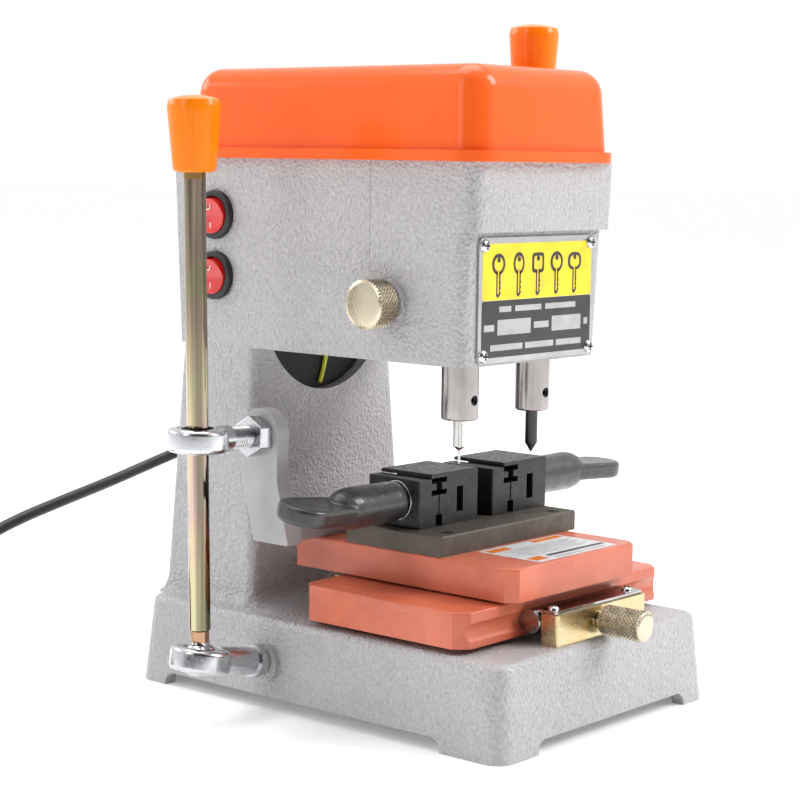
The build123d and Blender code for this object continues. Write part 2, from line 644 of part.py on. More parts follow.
def x_lock_screw():
    with BuildPart() as screw:
        rod_y(-134.5, -111.2, 1, 52, 7.25)
        fillet(screw.edges().filter_by(GeomType.CIRCLE), 0.7)
        rod_y(-111.2, -109, 1, 52, 4.6)
        rod_y(-109, -99.4, 1, 52, 3)
    save(screw, "x_lock_screw")


def ball_grooves(y0, y1):
    for x in BALL_X:
        rod_y(y0, y1, x, (LOWER_Z1 + UPPER_Z0) / 2, BALL_R + 0.1, Mode.SUBTRACT)


def lower_table():
    with BuildPart() as table:
        block(LOWER_X0, LOWER_X1, LOWER_Y0, LOWER_Y1, LOWER_Z0, LOWER_Z1)
        chamfer(table.edges().filter_by(Axis.Z), 6)
        fillet(table.faces().sort_by(Axis.Z)[-1].edges(), 1.2)
        for y in WAY_Y:
            rod_x(-200, 200, y, WAY_Z, WAY_R + 0.1, Mode.SUBTRACT)
        ball_grooves(-78, 200)
    save(table, "lower_table")


def way_balls():
    with BuildPart() as balls:
        for x in BALL_X:
            for y in BALL_Y:
                with Locations((x, y, (LOWER_Z1 + UPPER_Z0) / 2)):
                    Sphere(BALL_R)
    save(balls, "way_balls")


TABLE_SCREWS = ((-38.0, 0.0), (45.0, 0.0), (-38.0, -47.0), (45.0, -47.0))
BRACKET_SCREWS = ((-44.0, 29.0), (-33.5, 29.0))


def upper_table():
    with BuildPart() as table:
        block(UPPER_X0, UPPER_X1, UPPER_Y0, UPPER_Y1, UPPER_Z0, UPPER_Z1)
        chamfer(table.edges().filter_by(Axis.Z), 5)
        fillet(table.faces().sort_by(Axis.Z)[-1].edges(), 1.2)
        ball_grooves(-62, 32)
        for x, y in TABLE_SCREWS + BRACKET_SCREWS:
            rod_z(UPPER_Z1 - 8, UPPER_Z1 + 1, x, y, 2.2, Mode.SUBTRACT)
    save(table, "upper_table")


def clamp_plate():
    with BuildPart() as plate:
        block(PLATE_X0, PLATE_X1, PLATE_Y0, PLATE_Y1, UPPER_Z1, PLATE_Z1)
        fillet(plate.edges().filter_by(Axis.Z), 1.5)
        chamfer(plate.faces().sort_by(Axis.Z)[-1].edges(), 0.6)
        for x, y in TABLE_SCREWS:
            rod_z(UPPER_Z1 - 1, PLATE_Z1 + 1, x, y, 2.2, Mode.SUBTRACT)
            rod_z(PLATE_Z1 - 4.2, PLATE_Z1 + 1, x, y, 3.6, Mode.SUBTRACT)
    save(plate, "clamp_plate")


def table_screws():
    with BuildPart() as screws:
        for x, y in TABLE_SCREWS:
            rod_z(UPPER_Z1 - 7, PLATE_Z1 - 4.2, x, y, 2.15)
            rod_z(PLATE_Z1 - 4.2, PLATE_Z1 - 0.2, x, y, 3.5)
        for x, y in BRACKET_SCREWS:
            rod_z(UPPER_Z1 - 7, UPPER_Z1 + 7.5, x, y, 2.15)
            rod_z(UPPER_Z1 + 7.5, UPPER_Z1 + 11.5, x, y, 3.5)
    save(screws, "table_screws")


# ---------------------------------------------------------------- vises
def mouth(x0):
    """The I-shaped key mouth between jaw and block, and the slot at their foot."""
    middle = x0 + JAW_W + JAW_GAP / 2
    block(middle - 5.7, middle + 5.7, VISE_Y0 - 1, VISE_Y1 + 1, 111, JAW_TOP + 0.3, Mode.SUBTRACT)
    block(middle - 2.1, middle + 2.1, VISE_Y0 - 1, VISE_Y1 + 1, 107.6, 111.2, Mode.SUBTRACT)
    block(middle - 5.7, middle + 5.7, VISE_Y0 - 1, VISE_Y1 + 1, 105.2, 107.8, Mode.SUBTRACT)
    block(middle - 2.4, middle + 2.4, VISE_Y0 - 1, VISE_Y1 + 1, PLATE_Z1 - 1, 96, Mode.SUBTRACT)


def vise_block(x0, screw_depth, name):
    face = x0 + JAW_W + JAW_GAP
    with BuildPart() as body:
        block(face, x0 + VISE_W, VISE_Y0, VISE_Y1, PLATE_Z1, VISE_TOP)
        block(face - 6, face, VISE_Y0, VISE_Y1, JAW_TOP + 0.3, VISE_TOP)
        chamfer(body.faces().sort_by(Axis.Z)[-1].edges(), 0.5)
        mouth(x0)
        block(x0 + 28, x0 + 33, VISE_Y0 - 1, VISE_Y1 + 1, 95.5, 108, Mode.SUBTRACT)
        if screw_depth:
            rod_x(face - 1, face + screw_depth, SCREW_Y, SCREW_Z, SCREW_R, Mode.SUBTRACT)
        else:
            rod_x(face - 1, x0 + VISE_W + 1, SCREW_Y, SCREW_Z, SCREW_R + RUN_GAP, Mode.SUBTRACT)
    save(body, name)


def vise_jaw(x0, name):
    with BuildPart() as jaw:
        block(x0, x0 + JAW_W, VISE_Y0, VISE_Y1, PLATE_Z1 + 0.1, JAW_TOP)
        chamfer(jaw.faces().sort_by(Axis.X)[0].edges(), 0.5)
        mouth(x0)
        rod_x(x0 - 1, x0 + JAW_W + 1, SCREW_Y, SCREW_Z, SCREW_R + 0.3, Mode.SUBTRACT)
    save(jaw, name)


BARREL_LEN, PADDLE_AT, PADDLE_R, PADDLE_T = 46.0, 62.0, 13.0, 9.2


def barrel_profile(root, way):
    """Half section of a handle's round barrel. way is -1 or +1 along X."""
    end = root + way * BARREL_LEN
    with BuildSketch(Plane.XY.offset(SCREW_Z)) as barrel:
        with BuildLine():
            Polyline((root, SCREW_Y), (root, SCREW_Y + 9), (root + 3 * way, SCREW_Y + 9.7),
                     (root + 30 * way, SCREW_Y + 10), (end - 12 * way, SCREW_Y + 10))
            ThreePointArc((end - 12 * way, SCREW_Y + 10), (end - 3.4 * way, SCREW_Y + 7), (end, SCREW_Y))
            Line((end, SCREW_Y), (root, SCREW_Y))
        make_face()
    return barrel.sketch


def paddle_profile(root, way, lift, slope, roll):
    """Drop-shaped outline of a handle's flat paddle, which may slope along the handle."""
    out = Vector(way, 0, slope)
    side = Vector(0, math.cos(math.radians(roll)), math.sin(math.radians(roll)))
    plane = Plane(origin=(root, SCREW_Y, SCREW_Z), x_dir=out, z_dir=out.cross(side) * way)
    with BuildSketch(plane.offset(lift - PADDLE_T)) as paddle:
        with Locations((PADDLE_AT, 0)):
            Circle(PADDLE_R)
        with Locations((25, 0)):
            Circle(9)
        make_hull()
    return paddle.sketch


def handle_body(root, way, lift, slope, roll):
    extrude(paddle_profile(root, way, lift, slope, roll), amount=PADDLE_T)
    revolve(barrel_profile(root, way), axis=Axis((root, SCREW_Y, SCREW_Z), (1, 0, 0)))


def left_vise_handle():
    root = VISE_X[0] - 2.5
    with BuildPart() as handle:
        handle_body(root, -1, 0.8, 0.08, 10)
        rod_x(root - 32, root + 1, SCREW_Y, SCREW_Z, SCREW_R + RUN_GAP, Mode.SUBTRACT)
    save(handle, "left_vise_handle")


def right_vise_handle():
    root = VISE_X[1] + VISE_W + 0.4
    with BuildPart() as handle:
        handle_body(root, 1, 6.2, -0.047, 2)
        rod_x(VISE_X[1] + 2.5, root + 1, SCREW_Y, SCREW_Z, SCREW_R)
    save(handle, "right_vise_handle")


def left_vise_stud():
    with BuildPart() as stud:
        rod_x(VISE_X[0] - 28, VISE_X[0] + JAW_W + JAW_GAP + 12, SCREW_Y, SCREW_Z, SCREW_R)
        chamfer(stud.edges().sort_by(Axis.X)[0], 0.8)
    save(stud, "left_vise_stud")


def left_vise_washer():
    with BuildPart() as washer:
        rod_x(VISE_X[0] - 2.2, VISE_X[0], SCREW_Y, SCREW_Z, 9.6)
        rod_x(VISE_X[0] - 3, VISE_X[0] + 1, SCREW_Y, SCREW_Z, SCREW_R + 0.3, Mode.SUBTRACT)
    save(washer, "left_vise_washer")


# ---------------------------------------------------------------- table lever
def eye_plane(centre, rise):
    """Plane of an eye whose shank points to the machine; the eye tilts up away from it."""
    return Plane(origin=centre, x_dir=(math.cos(rise), 0, -math.sin(rise)),
                 z_dir=(math.sin(rise), 0, math.cos(rise)))


def shank_plane(centre, rise, distance):
    along = Vector(math.cos(rise), 0, -math.sin(rise))
    return Plane(origin=centre + along * distance, z_dir=along)


def lower_rod_end():
    plane = eye_plane(LOWER_EYE, LOWER_RISE)
    reach = 41.2
    with BuildPart() as eye:
        with BuildSketch(plane):
            Circle(EYE_R)
        extrude(amount=5.5, both=True)
        fillet(eye.edges().filter_by(GeomType.CIRCLE), 2.5)
        with BuildSketch(shank_plane(LOWER_EYE, LOWER_RISE, 11)):
            Circle(6.6)
        extrude(amount=reach - 11)
        with BuildSketch(shank_plane(LOWER_EYE, LOWER_RISE, reach - 7)):
            Circle(7.7)
        extrude(amount=4)
        block(-85, -60, 0, 60, 0, 45, Mode.SUBTRACT)
        rod_x(-87, -74, LEVER_Y, 23, 4)
        with Locations(LOWER_EYE):
            Sphere(BALL_END_R + 1.6, mode=Mode.SUBTRACT)
    save(eye, "lower_rod_end")


def lower_race():
    with BuildPart() as race:
        with Locations(LOWER_EYE):
            Sphere(BALL_END_R + 1.6 - RUN_GAP)
            Box(40, 40, 9, rotation=(0, -math.degrees(LEAN), 0), mode=Mode.INTERSECT)
            Sphere(BALL_END_R + RUN_GAP, mode=Mode.SUBTRACT)
    save(race, "lower_race")


def lever_section(centre):
    """A plane through the lever's axis: its own X is across the lever, its own Y is up it."""
    return Plane(origin=centre, x_dir=(LEVER_DIR.Z, 0, -LEVER_DIR.X), z_dir=(0, -1, 0))


def lever_rod():
    top = 250.0
    with BuildPart() as rod:
        with BuildSketch(lever_section(LOWER_EYE)):
            with BuildLine():
                low = math.sqrt(BALL_END_R ** 2 - 6.5 ** 2)
                side = math.sqrt(BALL_END_R ** 2 - NECK_R ** 2)
                Polyline((0, side + 4), (0, -6.5), (low, -6.5))
                ThreePointArc((low, -6.5), (BALL_END_R, 0), (NECK_R, side))
                Polyline((NECK_R, side), (NECK_R, 14), (LEVER_R, 14.7), (LEVER_R, top), (0, top),
                         (0, side + 4))
            make_face()
        revolve(axis=Axis(LOWER_EYE, LEVER_DIR))
    save(rod, "lever_rod")


def lever_knob():
    foot = LOWER_EYE + LEVER_DIR * 225.5
    with BuildPart() as knob:
        revolve(knob_profile(lever_section(foot), 34.5, 9.9, 12.2, LEVER_R, 24.5),
                axis=Axis(foot, LEVER_DIR))
    save(knob, "lever_knob")


def upper_rod_end():
    plane = eye_plane(UPPER_EYE, UPPER_RISE)
    with BuildPart() as eye:
        with BuildSketch(plane):
            Circle(EYE_R)
        extrude(amount=5.5, both=True)
        fillet(eye.edges().filter_by(GeomType.CIRCLE), 2.5)
        with BuildSketch(shank_plane(UPPER_EYE, UPPER_RISE, 11)):
            Circle(6.2)
        extrude(amount=8)
        with BuildSketch(shank_plane(UPPER_EYE, UPPER_RISE, 18)):
            Circle(4.9)
        extrude(amount=31)
        with Locations(UPPER_EYE):
            Sphere(11.1, mode=Mode.SUBTRACT)
    save(eye, "upper_rod_end")


def upper_ball():
    with BuildPart() as ball:
        with Locations(UPPER_EYE):
            Sphere(11.0)
            Box(40, 40, 11, rotation=(0, -math.degrees(LEAN), 0), mode=Mode.INTERSECT)
        with BuildSketch(Plane(origin=UPPER_EYE - LEVER_DIR * 8, z_dir=LEVER_DIR)):
            Circle(7.7)
        extrude(amount=16, mode=Mode.SUBTRACT)
    save(ball, "upper_ball")


TAB_OUT, TAB_IN = -87.0, -79.0


def lever_bracket():
    with BuildPart() as bracket:
        with BuildSketch(Plane.XZ.offset(-40)):
            with BuildLine():
                Polyline((TAB_OUT, 146), (TAB_OUT, 112), (TAB_OUT + 7.5, 82), (TAB_OUT + 7.5, UPPER_Z1),
                         (-30, UPPER_Z1), (-30, 87.8), (TAB_OUT + 17, 87.8), (TAB_IN, 112), (TAB_IN, 146),
                         close=True)
            make_face()
        extrude(amount=23)
        top = bracket.edges().filter_by(Axis.X).group_by(Axis.Z)[-1]
        fillet(top, 11.2)
        block(TAB_OUT + 17, 0, 0, 22.5, 70, 100, Mode.SUBTRACT)
        with BuildSketch(shank_plane(UPPER_EYE, UPPER_RISE, 30)):
            Circle(4.9)
        extrude(amount=30, mode=Mode.SUBTRACT)
        for x, y in BRACKET_SCREWS:
            rod_z(UPPER_Z1 - 1, UPPER_Z1 + 8.5, x, y, 2.2, Mode.SUBTRACT)
    save(bracket, "lever_bracket")


def upper_rod_nut():
    along = (UPPER_EYE.X - TAB_OUT) / -math.cos(UPPER_RISE)
    with BuildPart() as nut:
        with BuildSketch(shank_plane(UPPER_EYE, UPPER_RISE, along - 8.2)):
            RegularPolygon(8.5, 6, major_radius=False)
            Circle(4.9, mode=Mode.SUBTRACT)
        extrude(amount=7.8)
    save(nut, "upper_rod_nut")


# ---------------------------------------------------------------- power cord
CORD_POINTS = [
    (14, 134, 112), (14, 155, 110.5), (5.5, 173, 104), (-12, 183.5, 96), (-40, 186, 88.5),
    (-76, 184.5, 82.0), (-108, 184, 75.5), (-136, 184, 66.5), (-158, 184.5, 54), (-176, 186, 40),
    (-192, 190, 25.5), (-206, 197.5, 13), (-216.5, 210, 5.5), (-221.5, 226.5, CORD_R), (-222, 243, CORD_R),
    (-220, 261, CORD_R), (-212, 277.5, CORD_R), (-198, 289.5, 4), (-181, 295, 7), (-162.5, 296, 11),
]
PLUG_X0, PLUG_Y, PLUG_Z = -163.5, 296.0, 11.0


def corner_radii(points):
    """The radius of each arc, from its two runs and its turn."""
    radii = []
    for a, b, c in zip(points, points[1:], points[2:]):
        before, after = Vector(*b) - Vector(*a), Vector(*c) - Vector(*b)
        turn = math.radians(before.get_angle(after))
        radii.append(0.45 * min(before.length, after.length) / math.tan(turn / 2))
    return radii


def power_cord():
    """The whole route as one tube, open where the coil takes over."""
    radii = corner_radii(CORD_POINTS)
    with BuildPart() as cord:
        with BuildLine() as path:
            FilletPolyline(*CORD_POINTS, radius=radii)
        with BuildSketch(Plane(origin=path.line @ 0, z_dir=path.line % 0)):
            Circle(CORD_R)
        sweep(path=path.line)
        length = path.wire().length
        print("cord radii", [round(r) for r in radii], "length", round(length))
        print("volume", round(cord.part.volume), "expected", round(math.pi * CORD_R ** 2 * length))
        rod_z(-1, COIL_H + 0.2, COIL_X, COIL_Y, COIL_OUT, Mode.SUBTRACT)
        block(0, 28, 125, GLAND_END_Y, 100, 124, Mode.SUBTRACT)
        block(PLUG_X0, PLUG_X0 + 9, PLUG_Y - 9, PLUG_Y + 9, 0, 25, Mode.SUBTRACT)
    save(cord, "power_cord")


def cord_coil():
    with BuildPart() as coil:
        rod_z(0, COIL_H, COIL_X, COIL_Y, COIL_OUT)
        rod_z(-1, COIL_H + 1, COIL_X, COIL_Y, COIL_IN, Mode.SUBTRACT)
        fillet(coil.edges().filter_by(GeomType.CIRCLE), 2.5)
    save(coil, "cord_coil")


def cord_gland():
    """Moulded strain relief, tapered towards the cord."""
    x, z = CORD_HOLE
    wall = column_rear(z)
    with BuildPart() as gland:
        rod_y(wall - 1.5, wall + 3, x, z, 10.5)
        with BuildSketch(Plane.YZ.offset(x)):
            with BuildLine():
                Polyline((wall - 9, z - 20), (column_rear(z - 20), z - 20), (column_rear(z + 20), z + 20),
                         (wall - 9, z + 20), close=True)
            make_face()
        extrude(amount=12, both=True, mode=Mode.SUBTRACT)
        rod_y(wall - 9, wall + 1, x, z, 8)
        with BuildSketch(Plane.XZ.offset(-wall - 3)):
            with Locations((x, z)):
                Circle(7.5)
        with BuildSketch(Plane.XZ.offset(-GLAND_END_Y)):
            with Locations((x, z)):
                Circle(4.3)
        loft()
    save(gland, "cord_gland")


def plug():
    with BuildPart() as body:
        with BuildSketch(Plane.YZ.offset(PLUG_X0)):
            with Locations((PLUG_Y, PLUG_Z)):
                Circle(5)
        with BuildSketch(Plane.YZ.offset(PLUG_X0 + 16)):
            with Locations((PLUG_Y, PLUG_Z)):
                RectangleRounded(17, 16, 5)
        with BuildSketch(Plane.YZ.offset(PLUG_X0 + 30)):
            with Locations((PLUG_Y, PLUG_Z)):
                RectangleRounded(26, 20, 6)
        loft()
        with BuildSketch(Plane.YZ.offset(PLUG_X0 + 30)):
            with Locations((PLUG_Y, PLUG_Z)):
                RectangleRounded(30, 22, 7)
        extrude(amount=10)
        for dy in (-9.5, 9.5):
            rod_x(PLUG_X0 + 40, PLUG_X0 + 59, PLUG_Y + dy, PLUG_Z, 2.4)
    save(body, "plug")


def main():
    frame_casting()
    top_cover()
    nameplate()
    panhead_screws()
    frame_screws()
    switch_housings()
    rocker(SWITCH_Z[0], "upper_rocker")
    rocker(SWITCH_Z[1], "lower_rocker")
    motor_body()
    motor_plate()
    motor_shaft()
    pulley(MOTOR_X, MOTOR_Y, MOTOR_PULLEY_R, 5, "motor_pulley")
    pulley(CUTTER_X, SPINDLE_Y, SPINDLE_PULLEY_R, 5, "spindle_pulley", MAST_Z - 5.5)
    drive_belt()
    motor_guard()
    earth_wire()
    quill_carriage()
    feed_pinion_shaft()
    feed_hub()
    feed_rod()
    feed_knob()
    guide_rods()
    return_springs()
    spindle_bearings()
    cutter_spindle()
    tracer_holder()
    set_screw(CUTTER_X, 8.75, 154.0, "cutter_set_screw")
    set_screw(TRACER_X, 8.35, 153.5, "tracer_set_screw")
    key_cutter()
    tracer_stylus()
    quill_lock_knob()
    way_blocks()
    way_strip()
    way_rods()
    x_lock_screw()
    lower_table()
    way_balls()
    upper_table()
    clamp_plate()
    table_screws()
    vise_block(VISE_X[0], 12, "left_vise_block")
    vise_block(VISE_X[1], 0, "right_vise_block")
    vise_jaw(VISE_X[0], "left_vise_jaw")
    vise_jaw(VISE_X[1], "right_vise_jaw")
    left_vise_handle()
    right_vise_handle()
    left_vise_stud()
    left_vise_washer()
    lower_rod_end()
    lower_race()
    lever_rod()
    lever_knob()
    upper_rod_end()
    upper_ball()
    lever_bracket()
    upper_rod_nut()
    power_cord()
    cord_coil()
    cord_gland()
    plug()


main()
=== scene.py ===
import bpy
import bmesh
import json
import math
from mathutils import Matrix, Vector

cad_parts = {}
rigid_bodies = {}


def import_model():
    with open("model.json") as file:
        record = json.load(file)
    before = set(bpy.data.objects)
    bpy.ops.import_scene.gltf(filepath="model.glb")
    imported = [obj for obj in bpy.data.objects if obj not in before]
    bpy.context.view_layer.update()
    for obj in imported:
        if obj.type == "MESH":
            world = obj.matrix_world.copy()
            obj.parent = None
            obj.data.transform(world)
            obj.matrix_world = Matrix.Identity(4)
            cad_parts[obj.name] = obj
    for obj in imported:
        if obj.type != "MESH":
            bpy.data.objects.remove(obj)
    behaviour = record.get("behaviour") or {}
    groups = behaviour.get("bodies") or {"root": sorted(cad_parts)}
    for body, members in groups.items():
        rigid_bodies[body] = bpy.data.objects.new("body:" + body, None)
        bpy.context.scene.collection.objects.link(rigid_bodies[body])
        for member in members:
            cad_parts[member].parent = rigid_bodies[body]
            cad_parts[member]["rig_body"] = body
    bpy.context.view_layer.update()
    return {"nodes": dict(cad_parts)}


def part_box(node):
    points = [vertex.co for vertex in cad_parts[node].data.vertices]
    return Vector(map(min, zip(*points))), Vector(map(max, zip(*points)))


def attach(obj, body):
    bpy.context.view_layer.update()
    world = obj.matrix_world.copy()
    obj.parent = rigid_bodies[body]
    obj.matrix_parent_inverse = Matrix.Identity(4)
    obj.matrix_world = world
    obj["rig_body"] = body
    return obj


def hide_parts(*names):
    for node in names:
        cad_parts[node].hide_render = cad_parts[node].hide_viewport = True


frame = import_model()
scene = bpy.context.scene
MM = 0.001


# ------------------------------------------------------------------ camera, light, floor
CAMERA_TURN = (-49.674, 6.646, -0.831)  # yaw, tilt down and roll in degrees
CAMERA_PLACE = (-0.78332, -0.64944, 0.264)
LENS_MM, SENSOR_MM = 93.0, 36.0
DARK_SIDE = (-0.76, -0.65, 0)  # the room is dark this way, so that metal has something to mirror
WHITE_UP_TO, DARK_FROM = 0.35, 0.62
FLOOR_REACH, FLOOR_GLOW = 30, 0.18


def make_camera():
    """The main view: a long lens to the front left, a little above the throat."""
    yaw, tilt, roll = (math.radians(degrees) for degrees in CAMERA_TURN)
    ahead = Vector((-math.sin(yaw) * math.cos(tilt), math.cos(yaw) * math.cos(tilt), -math.sin(tilt)))
    side = Vector((math.cos(yaw), math.sin(yaw), 0))
    down = ahead.cross(side)
    right = side * math.cos(roll) + down * math.sin(roll)
    below = down * math.cos(roll) - side * math.sin(roll)
    data = bpy.data.cameras.new("camera")
    data.lens, data.sensor_width = LENS_MM, SENSOR_MM
    data.clip_start, data.clip_end = 0.05, 20
    camera = bpy.data.objects.new("camera", data)
    scene.collection.objects.link(camera)
    turn = Matrix((right, -below, -ahead)).transposed().to_4x4()
    camera.matrix_world = Matrix.Translation(CAMERA_PLACE) @ turn
    scene.camera = camera


def area_light(name, place, aim, size, power):
    data = bpy.data.lights.new(name, "AREA")
    data.shape, data.size, data.size_y = "RECTANGLE", size[0], size[1]
    data.energy = power
    light = bpy.data.objects.new(name, data)
    scene.collection.objects.link(light)
    light.location = place
    light.rotation_euler = (Vector(aim) - Vector(place)).to_track_quat("-Z", "Y").to_euler()


def make_lights():
    area_light("key", (0.9, -1.2, 1.3), (0, 0, 0.12), (0.7, 0.9), 24)
    area_light("left", (-1.5, 0.1, 0.9), (0, 0, 0.15), (0.5, 1.0), 5)
    area_light("top", (0.1, 0.3, 1.6), (0, 0, 0.1), (1.3, 1.0), 16)
    area_light("rim", (-0.5, 1.6, 0.9), (0, 0, 0.15), (1.2, 0.6), 8)


def make_world():
    """A white room that darkens towards one fixed side."""
    world = bpy.data.worlds.new("world")
    world.use_nodes = True
    tree = world.node_tree
    back = tree.nodes["Background"]
    toward = tree.nodes.new("ShaderNodeVectorMath")
    toward.operation = "DOT_PRODUCT"
    toward.inputs[1].default_value = DARK_SIDE
    place = tree.nodes.new("ShaderNodeTexCoord")
    ramp = tree.nodes.new("ShaderNodeValToRGB")
    white, dark = ramp.color_ramp.elements
    white.position, white.color = WHITE_UP_TO, (1, 1, 1, 1)
    dark.position, dark.color = DARK_FROM, (0.05, 0.05, 0.052, 1)
    tree.links.new(place.outputs["Generated"], toward.inputs[0])
    tree.links.new(toward.outputs["Value"], ramp.inputs["Fac"])
    tree.links.new(ramp.outputs["Color"], back.inputs["Color"])
    back.inputs["Strength"].default_value = 1.0
    scene.world = world
    scene.view_settings.view_transform = "Standard"
    scene.view_settings.look = "None"


def make_floor():
    far = FLOOR_REACH
    mesh = bpy.data.meshes.new("floor")
    mesh.from_pydata([(-far, -far, 0), (far, -far, 0), (far, far, 0), (-far, far, 0)], [], [(0, 1, 2, 3)])
    floor = bpy.data.objects.new("floor", mesh)
    scene.collection.objects.link(floor)
    look = Look("floor", (0.97, 0.97, 0.97), rough=0.6)
    look.bump(look.noise(300, 2), 0.02, 0.0005)
    look.shader.inputs["Emission Color"].default_value = (1, 1, 1, 1)
    look.shader.inputs["Emission Strength"].default_value = FLOOR_GLOW
    mesh.materials.append(look.material)


# ------------------------------------------------------------------ materials
class Look:
    """A procedural material on a Principled shader, built up one layer at a time."""

    def __init__(self, name, color, rough=0.5, metal=0.0, coat=0.0, coat_rough=0.05):
        self.material = bpy.data.materials.new(name)
        self.material.use_nodes = True
        self.tree = self.material.node_tree
        self.shader = self.tree.nodes["Principled BSDF"]
        self.shader.inputs["Base Color"].default_value = tuple(color) + (1,)
        self.shader.inputs["Roughness"].default_value = rough
        self.shader.inputs["Metallic"].default_value = metal
        self.shader.inputs["Coat Weight"].default_value = coat
        self.shader.inputs["Coat Roughness"].default_value = coat_rough
        self.place = self.node("ShaderNodeTexCoord").outputs["Object"]

    def node(self, kind, **settings):
        made = self.tree.nodes.new(kind)
        for key, value in settings.items():
            setattr(made, key, value)
        return made

    def link(self, a, b):
        self.tree.links.new(a, b)

    def stretched(self, scale):
        mapping = self.node("ShaderNodeMapping")
        mapping.inputs["Scale"].default_value = scale
        self.link(self.place, mapping.inputs["Vector"])
        return mapping.outputs["Vector"]

    def noise(self, scale, detail=2.0, rough=0.5, distortion=0.0, place=None):
        n = self.node("ShaderNodeTexNoise")
        n.inputs["Scale"].default_value = scale
        n.inputs["Detail"].default_value = detail
        n.inputs["Roughness"].default_value = rough
        n.inputs["Distortion"].default_value = distortion
        self.link(place or self.place, n.inputs["Vector"])
        return n.outputs["Fac"]

    def soft_cells(self, scale, smooth):
        n = self.node("ShaderNodeTexVoronoi", feature="SMOOTH_F1")
        n.inputs["Scale"].default_value = scale
        n.inputs["Smoothness"].default_value = smooth
        self.link(self.place, n.inputs["Vector"])
        return n.outputs["Distance"]

    def axis(self, name):
        split = self.node("ShaderNodeSeparateXYZ")
        self.link(self.place, split.inputs["Vector"])
        return split.outputs[name]

    def ramp(self, value, stops):
        """stops: (position, colour) pairs; a colour is a number or three numbers."""
        n = self.node("ShaderNodeValToRGB")
        bar = n.color_ramp
        while len(bar.elements) < len(stops):
            bar.elements.new(0.5)
        for element, (at, shade) in zip(bar.elements, stops):
            element.position = at
            if isinstance(shade, (int, float)):
                shade = (shade, shade, shade)
            element.color = tuple(shade) + (1,)
        self.link(value, n.inputs["Fac"])
        return n.outputs["Color"]

    def height_ramp(self, stops, reach):
        """Shades by height: stops are (mm, shade) pairs and reach is the ramp's full height in mm."""
        share = self.math("DIVIDE", self.axis("Z"), reach * MM)
        return self.ramp(share, [(at / reach, shade) for at, shade in stops])

    def math(self, kind, *values):
        n = self.node("ShaderNodeMath", operation=kind)
        for socket, value in zip(n.inputs, values):
            if isinstance(value, (int, float)):
                socket.default_value = value
            else:
                self.link(value, socket)
        return n.outputs["Value"]

    def blend(self, share, a, b):
        """Mix colours a and b; each is a socket or three numbers."""
        n = self.node("ShaderNodeMix", data_type="RGBA")
        self.link(share, n.inputs[0])
        for socket, value in ((n.inputs[6], a), (n.inputs[7], b)):
            if isinstance(value, tuple):
                socket.default_value = value[:3] + (1,)
            else:
                self.link(value, socket)
        return n.outputs[2]

    def paint(self, socket):
        self.link(socket, self.shader.inputs["Base Color"])

    def set_rough(self, socket):
        self.link(socket, self.shader.inputs["Roughness"])

    def set_metal(self, socket):
        self.link(socket, self.shader.inputs["Metallic"])

    def bump(self, height, strength, distance):
        n = self.node("ShaderNodeBump")
        n.inputs["Strength"].default_value = strength
        n.inputs["Distance"].default_value = distance
        self.link(height, n.inputs["Height"])
        normal = self.shader.inputs["Normal"]
        if normal.is_linked:
            self.link(normal.links[0].from_socket, n.inputs["Normal"])
        self.link(n.outputs["Normal"], normal)

    def edges(self, radius, sharp, soft):
        """1 on worn outer edges, 0 on flat surfaces."""
        rounded = self.node("ShaderNodeBevel", samples=6)
        rounded.inputs["Radius"].default_value = radius
        normal = self.node("ShaderNodeNewGeometry").outputs["Normal"]
        dot = self.node("ShaderNodeVectorMath", operation="DOT_PRODUCT")
        self.link(rounded.outputs["Normal"], dot.inputs[0])
        self.link(normal, dot.inputs[1])
        away = self.math("SUBTRACT", 1.0, dot.outputs["Value"])
        return self.ramp(away, [(sharp, 0), (soft, 1)])


def hammered_paint():
    """Grey hammertone, with the thin parting line down the front of the left side."""
    look = Look("hammered_grey_paint", (0.42, 0.41, 0.42), rough=0.38, coat=0.15, coat_rough=0.25)
    cloud = look.noise(18, 3)
    speck = look.noise(620, 3, 0.65)
    tone = look.ramp(cloud, [(0.3, (0.395, 0.385, 0.395)), (0.7, (0.45, 0.44, 0.45))])
    fleck = look.ramp(speck, [(0.30, (0.26, 0.25, 0.26)), (0.48, (0.41, 0.40, 0.41)),
                              (0.70, (0.60, 0.59, 0.60))])
    painted = look.blend(look.ramp(cloud, [(0, 0.30), (1, 0.42)]), tone, fleck)
    seam_y, seam_half_width, left_of, above_z = -20.5 * MM, 0.18 * MM, -65 * MM, 212 * MM
    seam = look.math("COMPARE", look.axis("Y"), seam_y, seam_half_width)
    left = look.math("LESS_THAN", look.axis("X"), left_of)
    above = look.math("GREATER_THAN", look.axis("Z"), above_z)
    line = look.math("MULTIPLY", seam, look.math("MULTIPLY", left, above))
    look.paint(look.blend(line, painted, (0.20, 0.19, 0.20)))
    look.set_rough(look.ramp(speck, [(0.3, 0.28), (0.7, 0.46)]))
    look.bump(look.noise(190, 3, 0.6), 0.6, 0.0016)
    look.bump(look.soft_cells(620, 0.5), 0.7, 0.0010)
    look.bump(look.noise(1500, 2), 0.2, 0.0003)
    return look.material


def smooth_grey_paint():
    look = Look("smooth_grey_paint", (0.42, 0.41, 0.42), rough=0.38, coat=0.2, coat_rough=0.2)
    cloud = look.noise(60, 3)
    worn = look.edges(0.0012, 0.05, 0.5)
    base = look.ramp(cloud, [(0.35, (0.36, 0.355, 0.365)), (0.7, (0.44, 0.43, 0.44))])
    look.paint(look.blend(worn, base, (0.62, 0.62, 0.63)))
    look.bump(look.noise(350, 3), 0.12, 0.0006)
    return look.material


